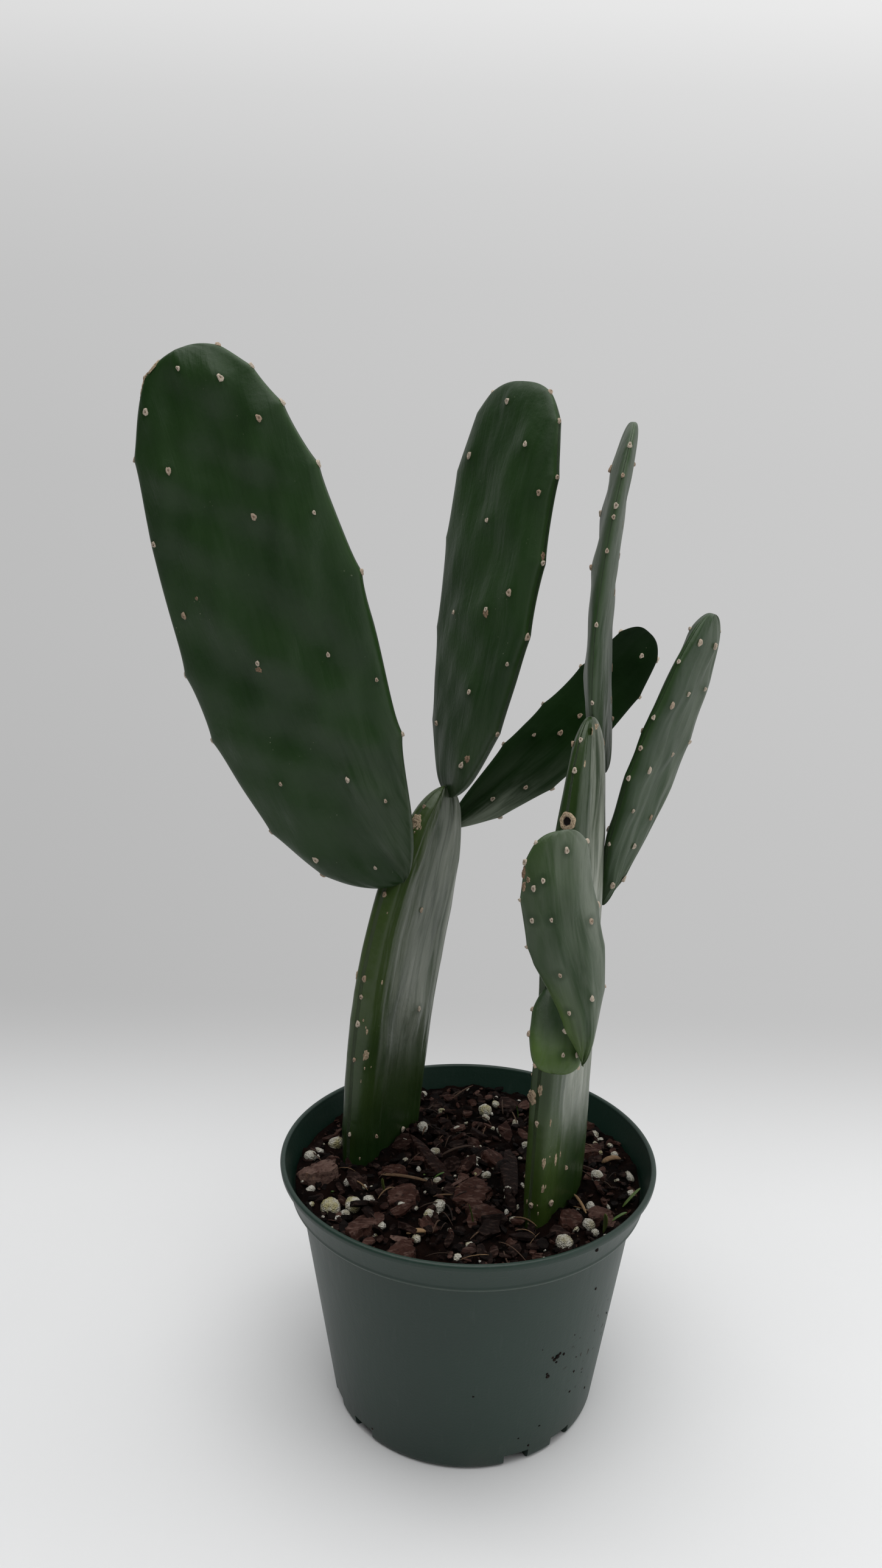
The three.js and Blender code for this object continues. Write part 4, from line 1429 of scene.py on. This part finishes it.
def crowd(count, reach, size_range, flatness, lift, tilt, **shape):
    """Lumps scattered over the mix: sizes fall off, so that most are small."""
    places = free_places(count, reach, size_range[0] * 0.4)
    count = len(places)
    length = size_range[0] + (size_range[1] - size_range[0]) * scatter.random(count) ** 2.2
    width = length * (0.45 + 0.45 * scatter.random(count))
    if flatness > 0.7:
        width = length * (0.8 + 0.2 * scatter.random(count))
    sizes = np.stack([length, width, width * flatness * (0.6 + 0.6 * scatter.random(count))], -1)
    x, y = places.T
    z = MIX_LEVEL + ripple(x, y) + lift * length * (0.3 + scatter.random(count))
    tilts = tilt * (scatter.random((count, 2)) - 0.5) * 2
    headings = math.pi * scatter.random(count)
    return lumps(np.stack([x, y, z], -1), sizes, headings, tilts, **shape)


print("gap from the pot's middle to the left stem, mm:", round(float(stem_gap("left_stem", 0.0, 0.0)), 1))

# %% [markdown]
# ## Bark
#
# Composted bark breaks into flat flakes with square edges. It runs from almost black through
# red-brown to a dusty pink where the inner face shows. Each flake carries one number, its
# tint, and the material reads that number to choose its brown, then adds fine grain.

# %% Bark finish
bark = Finish("bark", Specular_IOR_Level=0.1)
bark_place = bark.place()
bark_grain = bark.noise(bark_place, 500.0, detail=5.0, roughness=0.65)
bark_patch = bark.noise(bark_place, 130.0, detail=2.0)
bark_bands = bark.noise(bark.stretch(bark_place, (260, 700, 700)), 1.0, detail=3.0)
bark_browns = [
    (0.0, (0.0025, 0.0011, 0.0008)), (0.4, (0.011, 0.0042, 0.0029)), (0.66, (0.033, 0.0125, 0.0085)),
    (0.84, (0.07, 0.036, 0.028)), (0.94, (0.13, 0.082, 0.066)), (1.0, (0.24, 0.13, 0.078)),
]
bark_tint = bark.mark("tint")
bark_colour = bark.ramp(bark_browns, bark_tint + 0.3 * bark_grain + 0.35 * bark_patch - 0.42)
bark_colour = bark.mix(bark_bands.over(0.48, 0.7) * bark_tint * 0.5, bark_colour, (0.17, 0.11, 0.09))
bark_colour = bark.mix((1 - bark_grain.over(0.3, 0.45)) * 0.7, bark_colour, (0.006, 0.004, 0.003))
bark_dullness = (0.62 + 0.3 * bark_grain).clamp()
bark_finish = bark.wear(bark_colour, bark_dullness, bark_grain + 0.5 * bark_bands, depth=0.0009)
print("bark nodes:", len(bark.tree.nodes))

# %% [markdown]
# ## Twelve bark chips
#
# The largest chips lie loose on top, each with its own place, size and heading. They are the
# lump formula with a finer grid and squarer edges, and their height above the mix comes from
# the CAD model, so they neither float nor sink.

# %% Bark chips
# place (x, y), size (length, width, height) and heading, in mm and degrees, and tint
CHIPS = [
    ((-65, -9), (18, 12, 9), 8, 0.98), ((-16, 5), (38, 7, 6), -53, 0.5),
    ((2, -19), (18, 14, 7), 15, 0.78), ((8, -34), (18, 10, 6), -20, 0.66),
    ((-27, -25), (16, 13, 7), 25, 0.8), ((-41, -44), (23, 11, 7), 55, 0.8),
    ((-25, -60), (13, 10, 6), 60, 0.74), ((18.5, -4), (40, 8, 6), 90, 0.35),
    ((42.5, -38), (12, 9, 7), 75, 0.74), ((55.5, -30), (11, 9, 6), 20, 0.85),
    ((56.5, 18), (12, 9, 6), 40, 0.72), ((-32, -4), (11, 9, 6), -20, 0.74),
]


def middle_height(node):
    """The height of the middle of a CAD piece's box, mm."""
    low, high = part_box(node)
    return (low[2] + high[2]) / 2 / MM


for number, (at, size, heading, tint) in enumerate(CHIPS, 1):
    node = f"bark_chip_{number:02d}"
    place = [[at[0], at[1], middle_height(node)]]
    tilt = np.array([[0.2 * math.sin(number * 5), 0.14 * math.cos(number * 3)]])
    points, faces, _ = lumps(place, [size], np.radians([heading]), tilt, 9, 26, 0.34, 0.18, 0.5)
    chip = put_mesh(node, points, faces, {"tint": np.full(len(points), tint)}, sharp_angle=32)
    finish_piece(chip, bark_finish, "bark", node)

# %% [markdown]
# ## Crumbs and flakes
#
# Between the chips the mix is full of bark too small to place one by one. Two crowds of lumps do
# it, one of crumbs and one of flatter flakes, each a single mesh, and their tints are weighted
# so that most are dark.

# %% Bark crumbs and flakes
points, faces, tint = crowd(1150, 74.5, (1.5, 6.5), 0.45, 0.16, 0.6, rough=0.3)
crumbs_piece = put_mesh("bark_crumbs", points, faces, {"tint": 0.85 * tint**1.9}, sharp_angle=30)
finish_piece(crumbs_piece, bark_finish, "bark")
points, faces, tint = crowd(
    190, 71.0, (4.0, 12.0), 0.34, 0.15, 0.75, rings=4, sides=10, squareness=0.36, rough=0.26,
)
flakes_piece = put_mesh("bark_flakes", points, faces, {"tint": 0.12 + 0.85 * tint**1.4}, sharp_angle=30)
finish_piece(flakes_piece, bark_finish, "bark")

# %% [markdown]
# ## Perlite
#
# Perlite is volcanic glass popped by heat: light, white, round and full of tiny pits. Some
# grains turn yellow-green with algae. The pits are small cells in the bump.

# %% Perlite finish
popped = Finish("perlite", Specular_IOR_Level=0.3)
popped_place = popped.place()
pits = popped.cells(popped_place, 1500.0)
stain = popped.noise(popped_place, 260.0, detail=3.0)
popped_colour = popped.mix(stain.over(0.4, 0.7), (0.5, 0.48, 0.42), (0.27, 0.245, 0.17))
algae = popped.mark("tint").over(0.6, 0.95) * 0.5 * stain.over(0.35, 0.6)
popped_colour = popped.mix(algae, popped_colour, (0.36, 0.32, 0.1))
popped_colour = popped.mix((1 - pits.over(0.05, 0.3)) * 0.5, popped_colour, (0.2, 0.17, 0.13))
perlite_finish = popped.wear(popped_colour, 0.9, pits + stain, depth=0.0007)
print("perlite nodes:", len(popped.tree.nodes))

# %% [markdown]
# ## Ten perlite grains
#
# The largest grains are placed one by one, like the chips. They are nearly round and slightly
# flat, and each one's tint sets how much algae it has.

# %% Perlite grains
# place (x, y) and radius in mm, and tint
GRAINS = [
    ((-57, -32), 4.4, 0.95), ((-47.8, -29.5), 3.6, 0.85), ((-71, 5), 2.8, 0.6), ((-61, 17.5), 3.2, 1.0),
    ((-21.7, 31.9), 2.8, 0.3), ((8, 53), 3.2, 0.9), ((39.5, -51.5), 3.6, 0.7), ((50.3, -39), 2.8, 0.1),
    ((57, -5), 3.0, 0.1), ((-11.5, -29), 2.9, 0.4),
]
for number, (at, radius, tint) in enumerate(GRAINS, 1):
    node = f"perlite_{number:02d}"
    place = [[at[0], at[1], middle_height(node)]]
    size = [[2 * radius, 2 * radius * 0.95, 1.8 * radius]]
    points, faces, _ = lumps(place, size, np.array([number * 1.0]), np.zeros((1, 2)), 11, 20, 0.9, 0.14)
    grain_piece = put_mesh(node, points, faces, {"tint": np.full(len(points), tint)})
    finish_piece(grain_piece, perlite_finish, "perlite", node)

# %% [markdown]
# ## Perlite grit
#
# Handling breaks perlite into grit. It is scattered over the mix as one more crowd of lumps,
# rounder than the bark's.

# %% Perlite grit
points, faces, tint = crowd(
    135, 74.0, (1.6, 5.6), 0.95, 0.2, 1.0, rings=4, sides=8, squareness=0.9, rough=0.22,
)
grit = put_mesh("perlite_grit", points, faces, {"tint": tint})
finish_piece(grit, perlite_finish, "perlite")

# %% [markdown]
# ## Scars and cork
#
# Where a paddle broke off or the skin was hurt, the plant seals the place with pale cork. A
# lost paddle leaves a ring round a shallow dip that is painted nearly black, painted shade of a
# hole; an old bud leaves a few rings inside each other, and a scrape leaves a rough crust. All
# are the cushion formula again with other profiles and a rougher top, so they follow the skin
# wherever they sit.

# %% Cork finish
cork = Finish("cork", Specular_IOR_Level=0.25)
cork_place = cork.place()
cork_grain = cork.noise(cork_place, 1400.0, detail=4.0, roughness=0.65)
cork_colour = cork.mix(cork_grain.over(0.3, 0.6), (0.17, 0.115, 0.068), (0.48, 0.38, 0.26))
cork_colour = cork.mix(cork.mark("red") * 0.8, cork_colour, (0.13, 0.05, 0.025))
# painted shade: the dip inside a ring scar is coloured nearly black, as the shade of a hole
cork_colour = cork.mix(cork.mark("hole"), cork_colour, (0.006, 0.004, 0.003))
cork_finish = cork.wear(cork_colour, 0.9, cork_grain, depth=0.0005)
print("cork nodes:", len(cork.tree.nodes))

# %% [markdown]
# ## Where the scars are
#
# Scars come where the plant was touched: low on the stems, along the margins, and at the right
# stem's top. Each is placed one by one, since their look depends on being irregular, and the last
# number makes its cork redder.

# %% Scars
HOLE_PROFILE = np.array([
    (0, 0.2), (0.28, 0.2), (0.42, 0.28), (0.52, 1.0), (0.68, 0.8), (0.8, 0.95), (0.92, 0.4), (1.0, -0.3),
])
RINGS_PROFILE = np.array([
    (0, 0.9), (0.16, 0.8), (0.26, 0.35), (0.4, 0.75), (0.54, 0.3), (0.7, 0.6), (0.86, 0.3), (1.0, -0.3),
])
CRUST_PROFILE = np.array([(0, 0.6), (0.2, 0.7), (0.4, 0.55), (0.6, 0.65), (0.8, 0.4), (1.0, -0.35)])
# joint, share along, across, face, radii across and along (mm), height (mm), profile, redness
SCARS = [
    ("right_stem", 0.848, -1.0, 1, (3.2, 3.7), 1.1, HOLE_PROFILE, 0.0),
    ("left_stem", 0.93, -1.0, 1, (3.0, 3.4), 1.2, RINGS_PROFILE, 0.0),
    ("left_stem", 0.437, -0.96, 1, (1.3, 2.6), 0.5, RINGS_PROFILE, 0.0),
    ("left_stem", 0.598, -0.95, -1, (1.2, 2.0), 0.5, CRUST_PROFILE, 0.0),
    ("right_stem", 0.39, -0.98, -1, (2.4, 3.2), 1.1, RINGS_PROFILE, 0.15),
    ("right_stem", 0.407, -1.0, 1, (1.1, 2.6), 0.5, CRUST_PROFILE, 0.0),
    ("right_stem", 0.98, -0.6, 1, (3.0, 1.5), 0.7, CRUST_PROFILE, 0.0),
    ("right_stem", 0.985, 0.1, 1, (2.8, 1.3), 0.7, CRUST_PROFILE, 0.0),
    ("right_stem", 0.955, 0.95, 1, (1.8, 2.4), 0.6, CRUST_PROFILE, 0.0),
    ("right_stem", 0.28, -0.97, 1, (0.8, 2.6), 0.35, CRUST_PROFILE, 0.0),
    ("right_stem", 0.278, -0.69, 1, (1.0, 2.7), 0.35, CRUST_PROFILE, 0.0),
    ("right_stem", 0.277, -0.46, 1, (0.5, 1.5), 0.3, CRUST_PROFILE, 0.0),
    ("right_stem", 0.233, -0.95, 1, (0.7, 2.1), 0.35, CRUST_PROFILE, 0.0),
    ("right_stem", 0.347, -1.0, 1, (0.6, 1.3), 0.3, CRUST_PROFILE, 0.0),
    ("right_stem", 0.352, -0.9, 1, (0.5, 1.8), 0.3, CRUST_PROFILE, 0.0),
    ("right_stem", 0.134, -0.9, -1, (0.9, 1.4), 0.4, CRUST_PROFILE, 0.6),
    ("left_big_paddle", 0.975, -1.0, 1, (1.0, 4.2), 0.5, CRUST_PROFILE, 0.0),
    ("left_big_paddle", 0.99, -0.97, 1, (1.2, 3.4), 0.5, CRUST_PROFILE, 0.0),
    ("left_big_paddle", 0.962, -1.0, 1, (0.8, 2.4), 0.5, CRUST_PROFILE, 0.0),
    ("left_big_paddle", 0.468, -0.2, 1, (1.5, 1.2), 0.3, RINGS_PROFILE, 0.6),
    ("left_big_paddle", 0.62, -0.59, 1, (0.7, 0.8), 0.4, RINGS_PROFILE, 0.5),
    ("left_middle_paddle", 0.47, 0.3, 1, (1.5, 1.8), 0.7, CRUST_PROFILE, 0.6),
    ("left_middle_paddle", 0.12, 0.68, 1, (1.4, 1.7), 0.7, CRUST_PROFILE, 0.6),
    ("left_middle_paddle", 0.625, 1.0, 1, (1.0, 2.0), 0.5, CRUST_PROFILE, 0.7),
    ("right_front_paddle", 0.86, -1.0, 1, (1.3, 2.6), 0.8, CRUST_PROFILE, 0.7),
    ("right_front_paddle", 0.81, -0.99, 1, (1.1, 2.0), 0.7, CRUST_PROFILE, 0.5),
    ("right_front_paddle", 0.84, -0.93, 1, (0.8, 1.2), 0.5, CRUST_PROFILE, 0.3),
    ("right_low_paddle", 0.5, 0.9, -1, (1.1, 1.6), 0.6, CRUST_PROFILE, 0.6),
]
SCAR_SIDES = 30

scar_parts = []
for name, t, across, face, radii, height, profile, redness in SCARS:
    place = [(t, angle_for(JOINTS[name], across, face))]
    is_hole = profile is HOLE_PROFILE
    rough, uneven = (0.07, 0.3) if is_hole else (0.22, 0.8)
    points, faces, pit, _ = cushions(name, place, [radii], height, profile, SCAR_SIDES, rough, uneven)
    hole = (pit > 0.55).astype(float) if is_hole else np.zeros(len(pit))
    scar_parts.append((points, faces, hole, np.full(len(pit), redness)))
print("scars:", len(scar_parts))

# %% [markdown]
# ## Flecks, and one mesh for all the cork
#
# Old stems also carry small cork flecks along their near margin. They are scattered by chance,
# but from a seed of their own, so they stay where they are. All the cork has one finish, so all
# of it is joined into one mesh.

# %% Cork flecks
FLECKS_PER_STEM = 13
FLECK_HEIGHT, FLECK_SIDES = 0.28, 9
FLECK_PROFILE = CRUST_PROFILE[[0, 2, 4, 5]]


def join_parts(parts):
    """Joins (points, [quads, fans], mark, mark...) tuples into one set of arrays."""
    starts = np.cumsum([0] + [len(part[0]) for part in parts[:-1]])
    quads = np.concatenate([part[1][0] + start for part, start in zip(parts, starts)])
    fans = np.concatenate([part[1][1] + start for part, start in zip(parts, starts)])
    joined_marks = [np.concatenate([part[k] for part in parts]) for k in range(2, len(parts[0]))]
    return np.concatenate([part[0] for part in parts]), [quads, fans], joined_marks


fleck_chance = np.random.default_rng(19)
for name in ("left_stem", "right_stem"):
    along = 0.15 + 0.83 * fleck_chance.random(FLECKS_PER_STEM)
    angle = math.pi * (0.72 + 0.33 * fleck_chance.random(FLECKS_PER_STEM))
    size = 0.22 + 0.4 * fleck_chance.random(FLECKS_PER_STEM) ** 2
    radii = np.stack([size, size * (1.2 + 2.6 * fleck_chance.random(FLECKS_PER_STEM))], -1)
    spots = np.stack([along, angle], -1)
    points, faces, pit, _ = cushions(name, spots, radii, FLECK_HEIGHT, FLECK_PROFILE, FLECK_SIDES)
    scar_parts.append((points, faces, np.zeros(len(pit)), np.zeros(len(pit))))
points, faces, (hole, red) = join_parts(scar_parts)
scars = put_mesh("skin_scars", points, faces, {"hole": hole, "red": red})
finish_piece(scars, cork_finish, "stem_skin")

# %% [markdown]
# ## Fibres, straws and seedlings
#
# A real mix has a few thin things in it: pale straws, dark root fibres, and some tiny green
# seedlings that came up by themselves. Each is a strand: an oval section that tapers to its
# two ends, carried along a curve with one bend.

# %% Strand maker
def strands(starts, bends, ends, widths, flatness, rows=9, sides=6):
    """Sections along the quadratic curve (1-u)^2 a + 2u(1-u) b + u^2 c. The half-width is
    w (1 - (2u-1)^4)^(1/2), and the thickness is flatness times that. All in mm."""
    u = np.linspace(0.02, 0.98, rows)[:, None]
    a, b, c = (np.asarray(part, float)[:, None] for part in (starts, bends, ends))
    middle = (1 - u) ** 2 * a + 2 * u * (1 - u) * b + u**2 * c
    heading = 2 * (1 - u) * (b - a) + 2 * u * (c - b)
    heading /= np.linalg.norm(heading, axis=-1, keepdims=True)
    side = np.cross(heading, (0, 0, 1.0))
    side /= np.linalg.norm(side, axis=-1, keepdims=True) + 1e-6
    top = np.cross(side, heading)
    turn = 2 * math.pi * np.arange(sides) / sides
    width = np.asarray(widths)[:, None, None] / 2 * np.sqrt(1 - (2 * u - 1) ** 4)
    section = np.cos(turn)[:, None] * side[:, :, None]
    section = section + flatness * np.sin(turn)[:, None] * top[:, :, None]
    body = middle[:, :, None] + width[..., None] * section
    count = len(a)
    tips = np.concatenate([a, c], axis=1)
    points = np.concatenate([body.reshape(count, -1, 3), tips], axis=1) * MM
    tint = np.repeat(scatter.random(count), rows * sides + 2)
    return points.reshape(-1, 3), crowd_faces(count, rows, sides), tint


def over_mix(routes):
    """Lifts a list of routes from heights above the mix to real heights, mm."""
    routes = np.array(routes, float)
    routes[..., 2] += MIX_LEVEL + ripple(routes[..., 0], routes[..., 1])
    return routes[:, 0], routes[:, 1], routes[:, 2]


print("strand maker ready")

# %% [markdown]
# ## Seedlings
#
# At this size a seedling is one green blade, so a strand is enough for each. The blades are
# placed one by one so that they stand in the open, away from stems and chips.

# %% Seedlings
# start, bend and end of each: x, y, and height above the mix; then their widths
SEEDLINGS = [
    ((56, -43, 0), (57, -44, 6), (56, -46, 11)), ((3, -39, 0), (2.4, -40, 6), (1, -41, 11)),
    ((-35, -21, 0), (-36, -22, 5), (-36, -24, 9)), ((-15, -8, 0), (-13, -9, 3), (-10, -9, 4)),
    ((-17, -6, 0), (-18, -8, 3), (-19, -10, 3)), ((66, -24, 0), (70, -22, 4), (74, -19, 6)),
    ((60, -34, 1), (64, -33, 4), (67, -31, 3)), ((-58, -22, 1), (-57, -24, 4), (-57, -26, 5)),
    ((24, 46, 0), (24, 46, 4), (23, 45, 8)),
]
SEEDLING_WIDTHS = [1.8, 1.1, 1.3, 1.6, 1.4, 1.6, 1.5, 1.6, 0.8]

leaf = Finish("seedling", Specular_IOR_Level=0.4, Roughness=0.5)
leaf_tone = leaf.noise(leaf.place(), 500.0, detail=2.0)
leaf_colour = leaf.mix(leaf.mark("tint"), (0.06, 0.13, 0.025), (0.12, 0.15, 0.035))
leaf_colour = leaf.mix(leaf_tone * 0.5, leaf_colour, (0.03, 0.06, 0.012))
leaf_finish = leaf.wear(leaf_colour, None, leaf_tone, depth=0.0002)
points, faces, tint = strands(*over_mix(SEEDLINGS), SEEDLING_WIDTHS, 0.3)
finish_piece(put_mesh("seedlings", points, faces, {"tint": tint}), leaf_finish, "potting_mix")

# %% [markdown]
# ## Straws
#
# Straws are flat, pale and few, so each is placed one by one. Their finish reads one tint, from
# dark brown to straw yellow, with a fine grain.

# %% Straws
# start, bend and end of each, as for the seedlings; then their widths and tints
STRAWS = [
    ((46, -18, 2), (48, -25, 4), (50, -32, 2)), ((-38, -8, 2), (-28, -10, 4), (-16, -14, 2)),
    ((-12, 7, 3), (-6, 10, 5), (2, 15, 3)), ((-8, 60, 2), (-4, 63, 5), (2, 65, 7)),
    ((60, 4, 3), (64, 6, 6), (69, 8, 3)), ((-24, -51, 2), (-20, -51, 4), (-16, -50, 2)),
    ((-2, -71, 4), (3, -74, 9), (9, -77, 11)), ((13, -54, 2), (18, -58, 5), (24, -66, 3)),
]
STRAW_WIDTHS = [1.5, 1.9, 1.6, 1.1, 3.0, 2.6, 0.5, 0.6]
STRAW_TINTS = [0.95, 0.62, 0.25, 0.5, 0.8, 1.0, 0.9, 0.5]

straw = Finish("straw", Specular_IOR_Level=0.3)
straw_grain = straw.noise(straw.place(), 900.0, detail=3.0)
straw_browns = [(0.0, (0.012, 0.007, 0.005)), (0.5, (0.05, 0.027, 0.016)), (1.0, (0.24, 0.15, 0.075))]
straw_colour = straw.ramp(straw_browns, straw.mark("tint") + 0.3 * straw_grain - 0.15)
straw_finish = straw.wear(straw_colour, 0.85, straw_grain, depth=0.0003)
points, faces, _ = strands(*over_mix(STRAWS), STRAW_WIDTHS, 0.6)
tint = np.repeat(STRAW_TINTS, len(points) // len(STRAWS))
finish_piece(put_mesh("straws", points, faces, {"tint": tint}), straw_finish, "bark")

# %% [markdown]
# ## Root fibres
#
# Root fibres are thin, dark and many, so chance lays them: each starts at a clear place, goes
# some way in any direction and arches over the mix. They share the straws' finish at darker
# tints.

# %% Root fibres
start = free_places(60, 66.0, 3.0)
turn = 2 * math.pi * scatter.random(len(start))
reach = 5 + 9 * scatter.random(len(start))
ways = np.stack([np.cos(turn), np.sin(turn)], -1) * reach[:, None]
bend = start + 0.5 * ways + 2.5 * (scatter.random((len(start), 2)) - 0.5)
low, peak = np.full(len(start), 1.0), 2 + 4 * scatter.random(len(start))
knots = ((start, low), (bend, peak), (start + ways, 1.2 * low))
routes = np.stack([np.concatenate([spot, level[:, None]], -1) for spot, level in knots], 1)
widths = 0.3 + 0.5 * scatter.random(len(start))
points, faces, tint = strands(*over_mix(routes), widths, 1.0, rows=7, sides=5)
finish_piece(put_mesh("root_fibres", points, faces, {"tint": 0.75 * tint}), straw_finish, "bark")

# %% [markdown]
# ## Dried specks of mix on the pot
#
# Watering splashes mix on the pot, where it dries as thick dark crumbs. They stand out from the
# wall and catch light, so they are lumps on the wall's own radius, not a pattern in the plastic.

# %% Dried specks
# direction round the pot in degrees, height, and size in mm
SPECKS = [
    (-55, 53, 2.3), (-56, 52, 1.8), (-54, 54, 1.5), (-52, 52.5, 1.4), (-57, 53.5, 1.2), (-55, 50, 1.1),
    (-58, 44, 1.9), (-58.5, 45.5, 1.2), (-44, 38, 1.3), (-44.5, 46, 0.8), (-44, 27, 1.1), (-31, 19, 1.2),
    (-58, 17, 0.9), (-62, 8, 1.2), (-67, 14, 0.8), (-50, 107, 1.9), (-41, 79, 1.3), (-24, 53, 1.1),
    (-94, 111, 1.0), (-86, 41, 0.9), (-129, 7, 1.0), (-48, 60, 0.7), (-62, 60, 0.6), (-38, 33, 0.7),
]
speck_list = np.array(SPECKS, float)
way = np.radians(speck_list[:, 0])
wall_radius = np.interp(speck_list[:, 1], [1.6, 97.6, 99.6, 109.5], [59.1, 74.0, 77.9, 80.7])
spots = np.stack([wall_radius * np.cos(way), wall_radius * np.sin(way), speck_list[:, 1]], -1)
sizes = speck_list[:, 2:] * np.array([[0.4, 1.0, 0.9]])
points, faces, tint = lumps(spots, sizes, way, np.zeros((len(spots), 2)), 4, 8, 0.8, 0.35)
specks = put_mesh("dried_specks", points, faces, {"tint": 0.15 + 0.3 * tint})
finish_piece(specks, bark_finish, "potting_mix")
